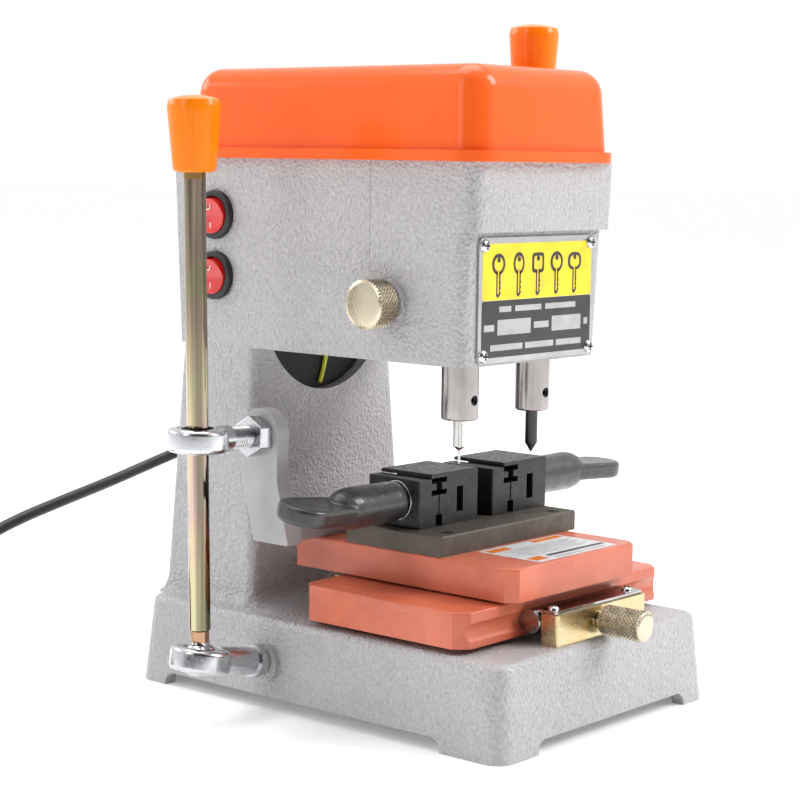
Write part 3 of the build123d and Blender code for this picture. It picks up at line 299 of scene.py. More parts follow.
def gloss_orange(name, color, dark):
    look = Look(name, color, rough=0.32, coat=0.16, coat_rough=0.04)
    look.shader.inputs["Specular IOR Level"].default_value = 0.2
    cloud = look.noise(14, 2)
    look.paint(look.ramp(cloud, [(0.3, dark), (0.7, color)]))
    look.set_rough(look.ramp(look.noise(500, 2), [(0.3, 0.18), (0.7, 0.27)]))
    look.bump(look.noise(60, 2), 0.04, 0.001)
    return look.material


def table_paint():
    look = Look("orange_plate_paint", (0.80, 0.17, 0.07), rough=0.34, coat=0.25, coat_rough=0.15)
    cloud = look.noise(30, 4, 0.6)
    base = look.ramp(cloud, [(0.3, (0.52, 0.105, 0.05)), (0.65, (0.66, 0.155, 0.075))])
    scuff = look.ramp(look.noise(55, 6, 0.7, 1.2), [(0.62, 0), (0.72, 1)])
    scuffed = look.blend(look.math("MULTIPLY", scuff, 0.35), base, (0.74, 0.32, 0.21))
    ragged = look.math("MULTIPLY", look.edges(0.0016, 0.05, 0.3), look.noise(260, 4, 0.7))
    chips = look.ramp(ragged, [(0.50, 0), (0.56, 1)])
    look.paint(look.blend(chips, scuffed, (0.25, 0.10, 0.06)))
    look.set_rough(look.ramp(look.noise(160, 4), [(0.3, 0.28), (0.7, 0.46)]))
    look.bump(look.noise(220, 4, 0.6), 0.14, 0.0006)
    look.bump(chips, 0.25, 0.0003)
    return look.material


def dark_oxide(name, color, light, rough=0.5, metal=0.6, grain=500):
    look = Look(name, color, rough=rough, metal=metal)
    cloud = look.noise(90, 5, 0.65)
    base = look.ramp(cloud, [(0.3, color), (0.75, light)])
    worn = look.math("MULTIPLY", look.edges(0.0006, 0.04, 0.4), look.noise(300, 3))
    look.paint(look.blend(look.ramp(worn, [(0.15, 0), (0.6, 1)]), base, (0.34, 0.33, 0.32)))
    look.set_rough(look.ramp(look.noise(grain, 3), [(0.3, rough - 0.12), (0.7, rough + 0.12)]))
    look.bump(look.noise(grain, 3, 0.6), 0.15, 0.0004)
    return look.material


def enamel_black():
    look = Look("rough_black_enamel", (0.018, 0.018, 0.019), rough=0.33, coat=0.35, coat_rough=0.18)
    cloud = look.noise(80, 4, 0.6)
    look.paint(look.ramp(cloud, [(0.3, (0.012, 0.012, 0.013)), (0.75, (0.035, 0.035, 0.037))]))
    look.set_rough(look.ramp(look.noise(200, 4), [(0.3, 0.26), (0.7, 0.5)]))
    look.bump(look.noise(110, 4, 0.6), 0.5, 0.0014)
    look.bump(look.noise(600, 3), 0.25, 0.0004)
    return look.material


def metal(name, color, rough, spread=0.08, grain=(1, 1, 1), scale=700, bump=0.06, tint=None):
    """Plated or ground steel; grain stretches the fine scratches along an axis."""
    look = Look(name, color, rough=rough, metal=1.0)
    fine = look.noise(scale, 3, 0.6, place=look.stretched(grain))
    cloud = look.noise(70, 3)
    if tint:
        look.paint(look.ramp(cloud, [(0.3, color), (0.7, tint)]))
    else:
        darker = tuple(c * 0.86 for c in color)
        look.paint(look.ramp(cloud, [(0.3, darker), (0.7, color)]))
    look.set_rough(look.ramp(fine, [(0.25, max(0.05, rough - spread)), (0.75, rough + spread)]))
    look.bump(fine, bump, 0.0002)
    return look.material


def yellow_zinc_rod():
    """Yellow chromate: faint pink and green bands, dark streaks along the rod that are painted reflections, a
    coppery neck at each end.
    """
    look = Look("yellow_zinc_rod", (0.66, 0.58, 0.36), rough=0.24, metal=1.0)
    bands = look.noise(28, 4, 0.6, 0.6, place=look.stretched((1, 1, 0.9)))
    hue = look.ramp(bands, [(0.28, (0.44, 0.46, 0.30)), (0.42, (0.52, 0.47, 0.29)),
                            (0.52, (0.54, 0.44, 0.31)), (0.60, (0.52, 0.38, 0.33)),
                            (0.74, (0.46, 0.47, 0.33))])
    # Painted reflection: dark streaks along the rod stand in for the dark side of the room mirrored in it.
    painted_reflection_streaks = look.noise(230, 2, 0.5, place=look.stretched((1, 1, 0.008)))
    rod_with_painted_reflections = look.blend(look.ramp(painted_reflection_streaks, [(0.36, 0.12), (0.62, 0.95)]), (0.075, 0.065, 0.045), hue)
    ball = look.height_ramp([(39.8, 1), (40.5, 0)], 100)
    foot = look.height_ramp([(45.2, 1), (46.2, 0)], 100)
    neck = look.height_ramp([(253.5, 0), (253.7, 1)], 300)
    plated = look.blend(foot, look.blend(neck, rod_with_painted_reflections, (0.30, 0.18, 0.06)), (0.40, 0.24, 0.15))
    look.paint(look.blend(ball, plated, (0.62, 0.62, 0.63)))
    fine = look.noise(900, 3, place=look.stretched((1, 1, 0.15)))
    look.set_rough(look.ramp(fine, [(0.3, 0.06), (0.7, 0.13)]))
    look.bump(fine, 0.02, 0.0001)
    return look.material


def plastic(name, color, rough=0.4, grain=900, bump=0.1, coat=0.0):
    look = Look(name, color, rough=rough, coat=coat)
    lighter = tuple(min(1, c * 1.25 + 0.004) for c in color)
    look.paint(look.ramp(look.noise(120, 3), [(0.3, color), (0.7, lighter)]))
    look.set_rough(look.ramp(look.noise(grain, 3), [(0.3, rough - 0.07), (0.7, rough + 0.07)]))
    look.bump(look.noise(grain, 2), bump, 0.0002)
    return look.material


def rocker_lens_with_painted_glow():
    look = Look("red_rocker_painted_glow", (0.72, 0.012, 0.012), rough=0.18, coat=0.5)
    look.shader.inputs["Transmission Weight"].default_value = 0.25
    # Painted glow: a faint red emission on a switch that is not lit.
    look.shader.inputs["Emission Color"].default_value = (0.8, 0.02, 0.01, 1)
    look.shader.inputs["Emission Strength"].default_value = 0.06
    look.paint(look.ramp(look.noise(150, 2), [(0.3, (0.60, 0.008, 0.008)), (0.7, (0.80, 0.02, 0.02))]))
    look.bump(look.noise(400, 2), 0.05, 0.0003)
    return look.material


def rubber_with_pins(pin_x):
    """Black moulded rubber; beyond pin_x along X it is plated metal."""
    look = Look("plug_rubber", (0.02, 0.02, 0.02), rough=0.55)
    pins = look.math("GREATER_THAN", look.axis("X"), pin_x)
    black = look.ramp(look.noise(200, 3), [(0.3, (0.015, 0.015, 0.015)), (0.7, (0.035, 0.035, 0.035))])
    look.paint(look.blend(pins, black, (0.70, 0.66, 0.52)))
    look.set_metal(pins)
    look.set_rough(look.ramp(pins, [(0.4, 0.55), (0.6, 0.25)]))
    look.bump(look.noise(500, 3), 0.12, 0.0003)
    return look.material


PLUG_FACE_X = -0.1235
LOOKS = {}


def make_looks():
    LOOKS.update(
        casting=hammered_paint(),
        bracket=smooth_grey_paint(),
        cover=gloss_orange("cover_orange", (0.88, 0.125, 0.018), (0.82, 0.108, 0.014)),
        knob=gloss_orange("knob_orange", (0.90, 0.225, 0.004), (0.84, 0.19, 0.003)),
        table=table_paint(),
        clamp=dark_oxide("brown_oxide", (0.075, 0.062, 0.05), (0.13, 0.11, 0.09), 0.5, 0.35),
        vise=dark_oxide("black_oxide", (0.020, 0.020, 0.021), (0.045, 0.044, 0.043), 0.42, 0.5),
        handle=enamel_black(),
        spindle=metal("ground_steel", (0.40, 0.375, 0.365), 0.2, grain=(1, 1, 0.08),
                      tint=(0.30, 0.28, 0.275)),
        tool=metal("tool_steel", (0.62, 0.61, 0.60), 0.22),
        black_tool=metal("black_tool", (0.06, 0.06, 0.062), 0.35),
        zinc=metal("bright_zinc", (0.60, 0.61, 0.63), 0.24, 0.08, scale=500, bump=0.08,
                   tint=(0.50, 0.51, 0.53)),
        brass=metal("brass_zinc", (0.55, 0.42, 0.22), 0.27, 0.08, (0.2, 1, 1), tint=(0.56, 0.48, 0.30)),
        nickel=metal("nickel", (0.60, 0.53, 0.40), 0.26, 0.06, scale=900, bump=0.03,
                     tint=(0.54, 0.49, 0.38)),
        polished=metal("polished_steel", (0.42, 0.42, 0.43), 0.12, 0.05, (0.15, 1, 1)),
        rod=yellow_zinc_rod(),
        plate=metal("plate_aluminium", (0.50, 0.50, 0.50), 0.35, 0.1, (0.1, 1, 1)),
        blackened=metal("blackened_steel", (0.05, 0.05, 0.052), 0.40),
        motor=metal("motor_steel", (0.22, 0.22, 0.225), 0.42),
        bezel=plastic("bezel_black", (0.012, 0.012, 0.012), 0.35, 1200, 0.15),
        guard=plastic("fibre_black", (0.008, 0.008, 0.008), 0.7, 600, 0.3),
        wire=plastic("wire_yellow_green", (0.55, 0.60, 0.03), 0.4),
        belt=plastic("belt_rubber", (0.015, 0.015, 0.015), 0.6, 500, 0.3),
        cord=plastic("cord_rubber", (0.014, 0.014, 0.015), 0.42, 700, 0.18),
        red=rocker_lens_with_painted_glow(),
        white_mark=plastic("white_mark", (0.72, 0.70, 0.68), 0.5),
        yellow_ink=plastic("yellow_ink", (0.80, 0.55, 0.004), 0.35, 400, 0.05, 0.2),
        black_ink=plastic("black_ink", (0.012, 0.012, 0.012), 0.32, 400, 0.05, 0.2),
        grey_ink=plastic("grey_ink", (0.36, 0.36, 0.36), 0.45, 400, 0.05),
        paper=plastic("sticker_paper", (0.66, 0.66, 0.68), 0.35, 400, 0.05, 0.3),
        # Painted shade: a flat dark look for the shade inside screw slots and hex sockets.
        dark_hole=plastic("painted_recess_shade", (0.01, 0.01, 0.01), 0.8),
        plug=rubber_with_pins(PLUG_FACE_X),
    )


# ------------------------------------------------------------------ building blocks
def body_of(node):
    return frame["nodes"][node]["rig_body"]


def add_object(name, verts, faces, body, look, angle=35):
    mesh = bpy.data.meshes.new(name)
    mesh.from_pydata([tuple(v) for v in verts], [], faces)
    mesh.validate()
    mesh.shade_smooth()
    mesh.set_sharp_from_angle(angle=math.radians(angle))
    mesh.materials.append(LOOKS[look])
    made = bpy.data.objects.new(name, mesh)
    scene.collection.objects.link(made)
    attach(made, body)
    return made


def clean_copy(node):
    """Corners and faces of a CAD node with its doubled corners merged and flat areas joined."""
    source = frame["nodes"][node].data
    work = bmesh.new()
    verts = [work.verts.new(v.co) for v in source.vertices]
    for face in source.polygons:
        if len(set(face.vertices)) > 2:
            try:
                work.faces.new([verts[i] for i in face.vertices])
            except ValueError:
                pass
    bmesh.ops.remove_doubles(work, verts=work.verts, dist=3e-6)
    bmesh.ops.dissolve_limit(work, angle_limit=math.radians(0.6), verts=work.verts, edges=work.edges)
    bmesh.ops.recalc_face_normals(work, faces=work.faces)
    work.verts.index_update()
    points = [v.co.copy() for v in work.verts]
    faces = [[v.index for v in f.verts] for f in work.faces]
    work.free()
    return points, faces


def dress(node, look, bevel=0.0, angle=34):
    """Shows a CAD node with smooth shading, slightly rounded edges and its material."""
    points, faces = clean_copy(node)
    made = add_object(node + "_look", points, faces, body_of(node), look, angle)
    if bevel:
        rounding = made.modifiers.new("rounding", "BEVEL")
        rounding.width, rounding.segments = bevel * MM, 2
        rounding.limit_method, rounding.angle_limit = "ANGLE", math.radians(40)
        rounding.harden_normals = True
    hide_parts(node)
    return made


def frame_about(along):
    """Two directions across the axis along, and the axis itself."""
    w = Vector(along).normalized()
    u = w.cross(Vector((0, 1, 0))) if abs(w.y) < 0.9 else w.cross(Vector((1, 0, 0)))
    u.normalize()
    return u, w.cross(u), w


def stitched(rings, steps, closed=False):
    """Quads between neighbouring rings of corners; closed also joins the last ring to the first."""
    faces = []
    for i in range(rings if closed else rings - 1):
        j = (i + 1) % rings
        for k in range(steps):
            m = (k + 1) % steps
            faces.append((i * steps + k, i * steps + m, j * steps + m, j * steps + k))
    return faces


def lathe(name, centre, along, profile, body, look, steps=64, radius_at=None):
    """Turns (radius, height) pairs in mm about an axis; radius_at can vary the radius round it."""
    u, v, w = frame_about(along)
    verts = []
    for r, h in profile:
        for k in range(steps):
            a = 2 * math.pi * k / steps
            here = radius_at(r, h, a) if radius_at else r
            verts.append(Vector(centre) + (u * math.cos(a) + v * math.sin(a)) * here * MM + w * h * MM)
    faces = stitched(len(profile), steps)
    last = len(profile) - 1
    if profile[0][0] > 0.01:
        faces.append(tuple(reversed(range(steps))))
    if profile[last][0] > 0.01:
        faces.append(tuple(range(last * steps, (last + 1) * steps)))
    return add_object(name, verts, faces, body, look)


def prism(name, outline, origin, across, up, thickness, body, look):
    """A thin slab from an outline in mm on a plane; it rises along across x up."""
    across, up = Vector(across), Vector(up)
    out = across.cross(up)
    n = len(outline)
    verts = [Vector(origin) + (across * x + up * y) * MM for x, y in outline]
    verts += [p + out * thickness * MM for p in verts[:n]]
    faces = [tuple(reversed(range(n))), tuple(range(n, 2 * n))]
    faces += [(i, (i + 1) % n, n + (i + 1) % n, n + i) for i in range(n)]
    return add_object(name, verts, faces, body, look)


def rounded_box_outline(x0, x1, y0, y1, r, steps=5):
    points = []
    corners = ((x1 - r, y1 - r, 0), (x0 + r, y1 - r, 90), (x0 + r, y0 + r, 180), (x1 - r, y0 + r, 270))
    for cx, cy, start in corners:
        for k in range(steps + 1):
            a = math.radians(start + 90 * k / steps)
            points.append((cx + r * math.cos(a), cy + r * math.sin(a)))
    return points


# ------------------------------------------------------------------ cord
ROUTE = [
    (14, 136, 112), (14, 155, 110.5), (5.5, 173, 104), (-12, 183.5, 96), (-40, 186, 88.5),
    (-76, 184.5, 82.0), (-108, 184, 75.5), (-136, 184, 66.5), (-158, 184.5, 54), (-176, 186, 40),
    (-192, 190, 25.5), (-206, 197.5, 13), (-216.5, 210, 5.5), (-221.5, 226.5, 3.05)]
TAIL = [(-222, 243, 8.8), (-220, 261, 5.2), (-212, 277.5, 3.05), (-198, 289.5, 4), (-181, 295, 7),
        (-163.5, 296, 11)]
COIL_CENTRE, CORD_R = (-182.5, 234.0), 3.05
TURN_RADII = (39.2, 33.1, 27.0, 27.0, 33.1, 39.2)
TURN_HEIGHTS = (3.05, 3.05, 3.05, 9.2, 9.2, 9.2)
STEPS_PER_TURN = 16


def coil_points():
    """Six turns, three beside each other and two high, entered and left at the outside."""
    points = []
    for turn, (radius, height) in enumerate(zip(TURN_RADII, TURN_HEIGHTS)):
        after = min(turn + 1, len(TURN_RADII) - 1)
        for k in range(STEPS_PER_TURN):
            share = k / STEPS_PER_TURN
            ease = max(0.0, share * 4 - 3)
            a = math.pi - 2 * math.pi * share
            r = radius + (TURN_RADII[after] - radius) * ease
            z = height + (TURN_HEIGHTS[after] - height) * ease
            points.append((COIL_CENTRE[0] + r * math.cos(a), COIL_CENTRE[1] + r * math.sin(a), z))
    return points


def make_cord():
    route = ROUTE + coil_points()[1:] + TAIL
    curve = bpy.data.curves.new("mains_cord", "CURVE")
    curve.dimensions = "3D"
    curve.bevel_depth, curve.bevel_resolution = CORD_R * MM, 5
    curve.resolution_u = 8
    curve.use_fill_caps = True
    spline = curve.splines.new("NURBS")
    spline.points.add(len(route) - 1)
    for point, at in zip(spline.points, route):
        point.co = (at[0] * MM, at[1] * MM, at[2] * MM, 1)
    spline.order_u = 3
    spline.use_endpoint_u = True
    curve.materials.append(LOOKS["cord"])
    cord = bpy.data.objects.new("mains_cord", curve)
    scene.collection.objects.link(cord)
    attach(cord, "machine")
    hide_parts("power_cord", "cord_coil")
    return cord


def make_cord_tie():
    """A soft band over the coil on its far side from the plug."""
    path = [(22.6, 0.4), (22.4, 11.0), (24.6, 13.0), (41.2, 13.0), (43.4, 11.0), (43.2, 0.4)]
    verts, faces = [], []
    for r, z in path:
        for side in (-2.5, 2.5):
            verts.append(Vector((COIL_CENTRE[0] + r, COIL_CENTRE[1] + side, z)) * MM)
    for i in range(len(path) - 1):
        faces.append((2 * i, 2 * i + 1, 2 * i + 3, 2 * i + 2))
    tie = add_object("cord_tie", verts, faces, "machine", "belt")
    tie.modifiers.new("thick", "SOLIDIFY").thickness = 0.7 * MM
    return tie


# ------------------------------------------------------------------ pieces that replace CAD nodes
KNURL_PITCH, KNURL_DEPTH, GROOVE_SHARE = 1.9, 0.75, 2.2
KNURL_RING, STEPS_PER_KNURL = 0.2, 10


def knurled(name, node, along, r, length, shank, body):
    """A knurled thumb knob with a smooth domed face; shank is the plain part behind it."""
    low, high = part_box(node)
    along = Vector(along)
    middle = (low + high) / 2
    face = max(low.dot(along), high.dot(along))
    centre = middle + along * (face - length * MM - middle.dot(along))
    around = round(2 * math.pi * r / KNURL_PITCH)
    rings = int(length / KNURL_RING)
    profile = [(shank[0], -shank[1]), (shank[0], 0), (r - 1.1, 0), (r - 0.5, 0.5)]
    profile += [(r, 0.6 + (length - 1.7) * k / rings) for k in range(rings + 1)]
    profile += [(r - 0.5, length - 1.0), (r - 1.4, length - 0.35), (r - 2.4, length - 0.25),
                (r * 0.5, length - 0.08), (0.0, length)]

    def radius_at(radius, h, a):
        if radius != r:
            return radius
        turns = around * a / (2 * math.pi)
        one = abs((turns + h / KNURL_PITCH) % 1 - 0.5) * 2
        two = abs((turns - h / KNURL_PITCH) % 1 - 0.5) * 2
        return r - KNURL_DEPTH * (1 - min(1, GROOVE_SHARE * min(one, two)))

    made = lathe(name, centre, along, profile, body, "nickel", around * STEPS_PER_KNURL,
                 radius_at)
    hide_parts(node)


def superellipse(cx, cy, hx, hy, power, steps=48):
    points = []
    for k in range(steps):
        a = 2 * math.pi * k / steps
        c, n = math.cos(a), math.sin(a)
        points.append((cx + hx * math.copysign(abs(c) ** (2 / power), c),
                       cy + hy * math.copysign(abs(n) ** (2 / power), n)))
    return points


VISE_AXIS_Y, VISE_AXIS_Z = -21.0, 103.0
BARREL = [(0.0, 0.3), (8.9, 0.3), (9.6, 2.5), (9.8, 14), (10.0, 26), (10.0, 33), (9.4, 37), (8.0, 40.6),
          (5.4, 43.6), (2.6, 45.2), (0.0, 45.6)]
PADDLE_NEAR, PADDLE_FAR = (25.0, 8.6), (62.0, 12.6)  # distance along the handle and radius of each end
PADDLE_LAYERS = [(-8.9, 0.84), (-8.2, 0.95), (-6.8, 1.0), (-1.6, 1.0), (-0.5, 0.95), (-0.1, 0.84),
                 (-0.35, 0.6), (-0.4, 0.1)]  # height and width share, from the bottom to the dished top


def paddle_outline(steps=30):
    """Two rounded ends of different size, joined by their tangents."""
    near, far = PADDLE_NEAR, PADDLE_FAR
    lean = math.asin((far[1] - near[1]) / (far[0] - near[0]))
    outline = []
    for (u, r), start, end in ((far, -math.pi / 2 - lean, math.pi / 2 + lean),
                               (near, math.pi / 2 + lean, 1.5 * math.pi - lean)):
        for k in range(steps + 1):
            a = start + (end - start) * k / steps
            outline.append((u + r * math.cos(a), r * math.sin(a)))
    return outline


def add_faces(mesh, verts, faces):
    """Adds a closed shell to a mesh that has one already."""
    work = bmesh.new()
    work.from_mesh(mesh)
    corners = [work.verts.new(v) for v in verts]
    for face in faces:
        work.faces.new([corners[k] for k in face])
    bmesh.ops.recalc_face_normals(work, faces=work.faces)
    work.to_mesh(mesh)
    work.free()


def vise_handle(name, node, root, way, lift, slope, roll, body):
    """Rough cast handle: a domed barrel that flows into a flat rounded paddle."""
    centre = Vector((root, VISE_AXIS_Y, VISE_AXIS_Z)) * MM
    made = lathe(name, centre, (way, 0, 0), BARREL, body, "handle", 56)
    out = Vector((way, 0, slope)).normalized()
    side = Vector((0, math.cos(math.radians(roll)), math.sin(math.radians(roll))))
    up = out.cross(side) * way
    outline = paddle_outline()
    middle, end_share = 44, 0.45  # the layers shrink towards this point, less along than across
    verts = []
    for height, shrink in PADDLE_LAYERS:
        for u, v in outline:
            along = middle + (u - middle) * (1 - (1 - shrink) * end_share)
            verts.append(centre + (out * along + side * v * shrink + up * (height + lift)) * MM)
    layers, total = len(PADDLE_LAYERS), len(outline)
    faces = stitched(layers, total)
    faces.append(tuple(reversed(range(total))))
    faces.append(tuple(range((layers - 1) * total, layers * total)))
    add_faces(made.data, verts, faces)
    join = made.modifiers.new("join", "REMESH")
    join.mode, join.voxel_size, join.use_smooth_shade = "VOXEL", 0.55 * MM, True
    flow = made.modifiers.new("flow", "SMOOTH")
    flow.factor, flow.iterations = 0.5, 9
    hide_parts(node)


def stud_thread():
    """The screw thread on the bare end of the upper rod end's stud."""
    tilt = math.radians(2.4)
    along = Vector((math.cos(tilt), 0, -math.sin(tilt)))
    low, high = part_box("upper_ball")
    eye = (low + high) / 2
    start, length, pitch, steps = 19.5, 12.6, 1.5, 40
    root, crest = 4.55, 0.85
    rings = int(length / pitch * 10)
    u, v, w = frame_about(along)
    verts = []
    for i in range(rings + 1):
        h = start + length * i / rings
        for k in range(steps):
            a = 2 * math.pi * k / steps
            phase = (h / pitch - k / steps) % 1
            r = root + crest * (1 - abs(phase - 0.5) * 2)
            verts.append(eye + (u * math.cos(a) + v * math.sin(a)) * r * MM + w * h * MM)
    add_object("stud_thread", verts, stitched(rings + 1, steps), "y_table", "zinc", 50)


# ------------------------------------------------------------------ printed and applied details
PLATE_FRONT_Y = -78.2
KEY_Z = 217.5
KEY_HEADS = {"round": superellipse(0, 0, 4.9, 4.9, 2, 28), "oval": superellipse(0, 0, 4.2, 5.2, 2, 28),
             "square": superellipse(0, 0, 4.7, 4.7, 5, 28), "wide": superellipse(0, 0, 5.4, 4.2, 2.6, 28)}
KEY_BLADE = [(-1.5, -3.5), (-1.5, -14.2), (-0.4, -15.4), (1.0, -14.4), (1.9, -13.0), (1.1, -12.0),
             (2.0, -10.8), (1.2, -9.8), (1.9, -8.6), (1.5, -7.6), (1.5, -3.5)]
KEY_GROOVE = [(-0.55, -2.6), (-0.55, -13.4), (0.25, -13.4), (0.25, -2.6)]
PLATE_KEYS = [(-43, "round"), (-27.8, "oval"), (-13.2, "square"), (1.3, "round"), (15.6, "wide")]
PLATE_BARS = [(-43, -18, 185.2, 192.2), (-1.6, 21.5, 185.2, 192.2), (-42, -33, 195.7, 198.3),
              (-30, -10, 195.7, 198.3), (-7, 17, 195.7, 198.3), (-53, -45.5, 187.2, 190.2),
              (-15.5, -4, 187.2, 190.2), (24, 27, 187.2, 190.2), (-48, -24, 178.2, 181.0),
              (-22, 0, 178.2, 181.0), (2, 22, 178.2, 181.0)]


def on_plate(name, outline, out, thickness, look, x=0.0, z=0.0):
    """A printed patch that starts out mm in front of the name plate."""
    at = Vector((x, PLATE_FRONT_Y - out, z)) * MM
    prism(name, outline, at, (1, 0, 0), (0, 0, 1), thickness, "machine", look)


def key_picture(n, x, head):
    """A generic key: a head with a hole and a toothed blade."""
    small_head = [(px * 0.66, pz * 0.66) for px, pz in KEY_HEADS[head]]
    pieces = [("head", KEY_HEADS[head], "black_ink", 0.12), ("blade", KEY_BLADE, "black_ink", 0.12),
              ("face", small_head, "yellow_ink", 0.18),
              ("hole", superellipse(0, 2.0, 1.3, 1.3, 2, 20), "black_ink", 0.22),
              ("groove", KEY_GROOVE, "yellow_ink", 0.18)]
    for part, outline, look, out in pieces:
        on_plate(f"key_{n}_{part}", outline, out, 0.06, look, x, KEY_Z)


def print_nameplate():
    on_plate("plate_yellow", rounded_box_outline(-54.6, 29.2, 201.2, 226.8, 1.2), 0, 0.1, "yellow_ink")
    on_plate("plate_black", rounded_box_outline(-54.6, 29.2, 175.2, 201.0, 1.2), 0, 0.1, "black_ink")
    for n, (x, head) in enumerate(PLATE_KEYS):
        key_picture(n, x, head)
    for n, bar in enumerate(PLATE_BARS):
        on_plate(f"plate_bar_{n}", rounded_box_outline(*bar, 0.3), 0.1, 0.05, "grey_ink")


TABLE_TOP_Z, STICKER_T = 80.3, 0.12


def on_table(name, box, corner, lift, thickness, look):
    """A flat patch on the upper table, lift mm above its top."""
    at = Vector((0, 0, TABLE_TOP_Z + lift)) * MM
    prism(name, rounded_box_outline(*box, corner), at, (1, 0, 0), (0, 1, 0), thickness, "y_table", look)


def make_sticker():
    """Paper with blank orange blocks, grey lines of uneven length and a dark bar."""
    on_table("sticker", (-26, 37, -92.5, -56), 1.5, 0, STICKER_T, "paper")
    marks = [(-24, -9, -64, -58.5, "knob"), (-24, -14, -89.5, -83, "knob"), (12, 35, -61.5, -57.5, "knob")]
    for k in range(6):
        below = 2.5 * k
        marks.append((-20 + 2 * (k % 3), 33 - 5 * (k % 2), -67.5 - below, -66.4 - below, "grey_ink"))
    marks += [(-10, 35, -86.5, -83.6, "black_ink"), (-10, 30, -90.5, -88.8, "grey_ink")]
    for n, (*box, look) in enumerate(marks):
        on_table(f"sticker_mark_{n}", box, 0.3, STICKER_T, 0.04, look)


def dome_screw(name, at, along, r, height, body):
    """A round head with a cross slot; the slot is flat dark slabs of painted shade."""
    dome = [math.radians(degrees) for degrees in (0, 18, 36, 54, 72, 84)]
    profile = [(r, -0.3)] + [(r * math.cos(a), height * math.sin(a)) for a in dome] + [(0.0, height)]
    made = lathe(name, at, along, profile, body, "zinc", 32)
    u, v, w = frame_about(along)
    slot = rounded_box_outline(-r * 0.55, r * 0.55, -r * 0.13, r * 0.13, 0.1, 2)
    for k, (a, b) in enumerate(((u, v), (v, -u))):
        prism(f"{name}_slot_{k}", slot, Vector(at) + w * (height * 0.86) * MM, a, b, height * 0.16, body,
              "dark_hole")
    return made


def make_screws():
    heads = []
    for x, z in ((-53.3, 226.0), (28.0, 226.0), (-53.3, 176.2), (28.0, 176.2)):
        at = Vector((x, PLATE_FRONT_Y - 0.1, z)) * MM
        heads.append(dome_screw(f"plate_screw_{len(heads)}", at, (0, -1, 0), 3.1, 1.8, "machine"))
    for x in (-27.0, 32.6):
        at = Vector((x, -101.5, 60.0)) * MM
        heads.append(dome_screw(f"strip_screw_{len(heads)}", at, (0, 0, 1), 2.8, 1.7, "machine"))
    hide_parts("panhead_screws")
    # Painted shade of the table screws' hex sockets: flat dark hexagons on the heads.
    hexagon = [(1.7 * math.cos(math.radians(60 * k)), 1.7 * math.sin(math.radians(60 * k))) for k in range(6)]
    for n, (x, y) in enumerate(((-38.0, 0.0), (45.0, 0.0), (-38.0, -47.0), (45.0, -47.0))):
        prism(f"plate_hex_socket_shade_{n}", hexagon, Vector((x, y, 89.8)) * MM, (1, 0, 0), (0, 1, 0), 0.05, "y_table",
              "dark_hole")


def ring_mark(name, at, across, up, out, inner, outer, thickness, body):
    steps = 32
    verts = []
    for r, lift in ((inner, 0), (outer, 0), (outer, thickness), (inner, thickness)):
        for k in range(steps):
            a = 2 * math.pi * k / steps
            verts.append(at + (across * math.cos(a) + up * math.sin(a)) * r * MM + out * lift * MM)
    add_object(name, verts, stitched(4, steps, closed=True), body, "white_mark")


ROCKER_X, ROCKER_Y, ROCKER_TILT = -65.6, 80, math.radians(8)
FACE_OUT, FACE_DIP, FACE_HALF = 4.0, 1.2, 9.0  # the middle's height, and how far the ends stand above it
MARK_AT, MARK_LIFT = 4.6, 0.04


def rocker_marks(prefix, z, body):
    """A generic off ring and on bar on the halves of a rocker's face."""
    hinge = Vector((ROCKER_X, ROCKER_Y, z))
    for kind, side in (("ring", 1), ("bar", -1)):
        turn = ROCKER_TILT + math.atan2(FACE_DIP, FACE_HALF) * side
        normal = Vector((-math.cos(turn), 0, math.sin(turn)))
        up = Vector((math.sin(turn), 0, math.cos(turn)))
        out, rise = -FACE_OUT - FACE_DIP * MARK_AT / FACE_HALF - MARK_LIFT, MARK_AT * side
        turned = Vector((out * math.cos(ROCKER_TILT) - rise * math.sin(ROCKER_TILT), 0,
                         out * math.sin(ROCKER_TILT) + rise * math.cos(ROCKER_TILT)))
        at = (hinge + turned) * MM
        across = up.cross(normal)
        if kind == "bar":
            bar = rounded_box_outline(-0.25, 0.25, -1.5, 1.5, 0.2, 3)
            prism(f"{prefix}_bar", bar, at, across, up, 0.16, body, "white_mark")
        else:
            ring_mark(f"{prefix}_ring", at, across, up, normal, 1.3, 1.75, 0.42, body)


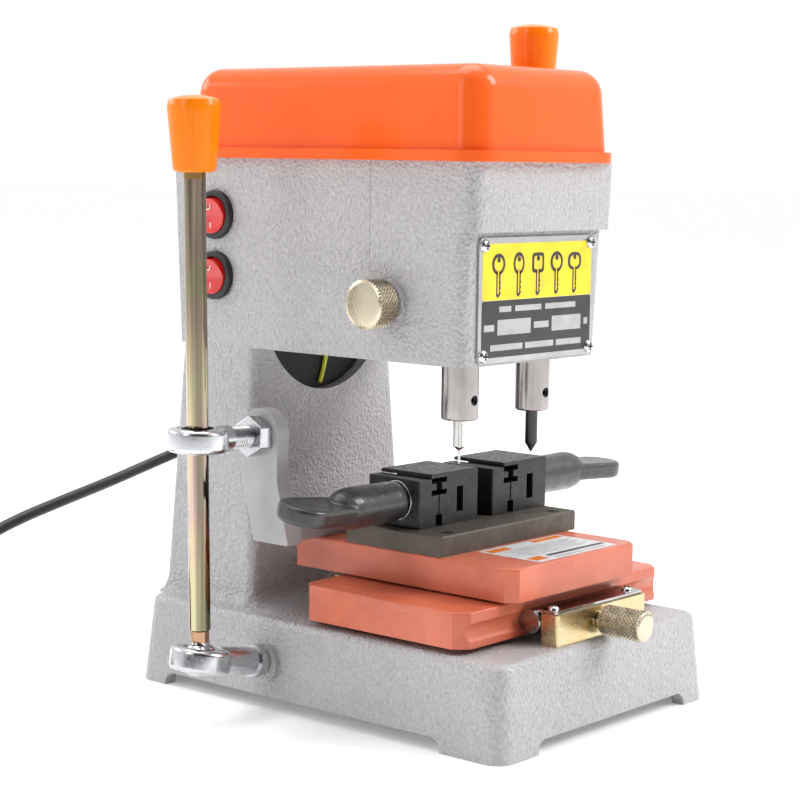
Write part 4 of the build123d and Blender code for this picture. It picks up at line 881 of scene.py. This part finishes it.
# ------------------------------------------------------------------ assembly
PLAIN = [
    ("frame_casting", "casting", "casting_paint", 0.0), ("top_cover", "cover", "cover_orange", 0.25),
    ("nameplate", "plate", "plate_alu", 0.2), ("frame_screws", "blackened", "black_steel", 0.25),
    ("switch_housings", "bezel", "bezel_black", 0.15), ("upper_rocker", "red", "rocker_red", 0.4),
    ("lower_rocker", "red", "rocker_red", 0.4), ("motor_body", "motor", "motor_steel", 0.0),
    ("motor_plate", "motor", "motor_steel", 0.0), ("motor_shaft", "tool", "tool_steel", 0.0),
    ("motor_pulley", "spindle", "spindle_steel", 0.0), ("spindle_pulley", "spindle", "spindle_steel", 0.0),
    ("drive_belt", "belt", "belt_rubber", 0.0), ("motor_guard", "guard", "guard_black", 0.0),
    ("earth_wire", "wire", "wire_green", 0.0), ("quill_carriage", "motor", "motor_steel", 0.0),
    ("feed_pinion_shaft", "tool", "tool_steel", 0.0), ("feed_hub", "blackened", "black_steel", 0.0),
    ("feed_rod", "rod", "yellow_zinc", 0.0), ("feed_knob", "knob", "knob_orange", 0.0),
    ("guide_rods", "tool", "tool_steel", 0.0), ("return_springs", "tool", "tool_steel", 0.0),
    ("spindle_bearings", "tool", "tool_steel", 0.0), ("cutter_spindle", "spindle", "spindle_steel", 0.0),
    ("tracer_holder", "spindle", "spindle_steel", 0.0), ("cutter_set_screw", "black_tool", "tool_black", 0.1),
    ("tracer_set_screw", "black_tool", "tool_black", 0.1), ("key_cutter", "tool", "tool_steel", 0.0),
    ("tracer_stylus", "black_tool", "tool_black", 0.0), ("way_blocks", "brass", "yellow_zinc", 0.5),
    ("way_strip", "polished", "polished_steel", 0.2), ("way_rods", "spindle", "spindle_steel", 0.0),
    ("lower_table", "table", "table_orange", 0.0), ("way_balls", "polished", "polished_steel", 0.0),
    ("upper_table", "table", "table_orange", 0.0), ("clamp_plate", "clamp", "clamp_oxide", 0.0),
    ("table_screws", "blackened", "black_steel", 0.25), ("left_vise_block", "vise", "vise_black", 0.25),
    ("right_vise_block", "vise", "vise_black", 0.25), ("left_vise_jaw", "vise", "vise_black", 0.25),
    ("right_vise_jaw", "vise", "vise_black", 0.25), ("left_vise_stud", "spindle", "spindle_steel", 0.0),
    ("left_vise_washer", "zinc", "bright_zinc", 0.3), ("lower_rod_end", "zinc", "bright_zinc", 0.0),
    ("lower_race", "zinc", "bright_zinc", 0.0), ("lever_rod", "rod", "yellow_zinc", 0.0),
    ("lever_knob", "knob", "knob_orange", 0.0), ("upper_rod_end", "zinc", "bright_zinc", 0.0),
    ("upper_ball", "zinc", "bright_zinc", 0.0), ("lever_bracket", "bracket", "bracket_paint", 0.6),
    ("upper_rod_nut", "zinc", "bright_zinc", 0.5), ("cord_gland", "cord", "cord_black", 0.2),
]

make_looks()
make_camera()
make_lights()
make_world()
make_floor()
cord = make_cord()
tie = make_cord_tie()
for node, look, slot_name, bevel in PLAIN:
    dress(node, look, bevel)
plug = dress("plug", "plug", 0.3)
knurled("depth_lock_knob", "quill_lock_knob", (-1, 0, 0), 11.5, 12.8, (4.0, 13.5), "depth_lock")
knurled("table_lock_knob", "x_lock_screw", (0, -1, 0), 7.25, 23.3, (4.2, 2.2), "table_lock")
vise_handle("left_handle_cast", "left_vise_handle", -45.5, -1, 0.8, 0.08, 10, "left_handle")
vise_handle("right_handle_cast", "right_vise_handle", 57.4, 1, 6.2, -0.047, 2, "right_handle")
stud_thread()
print_nameplate()
make_sticker()
make_screws()
rocker_marks("upper_mark", 235.7, "upper_switch")
rocker_marks("lower_mark", 206.0, "lower_switch")
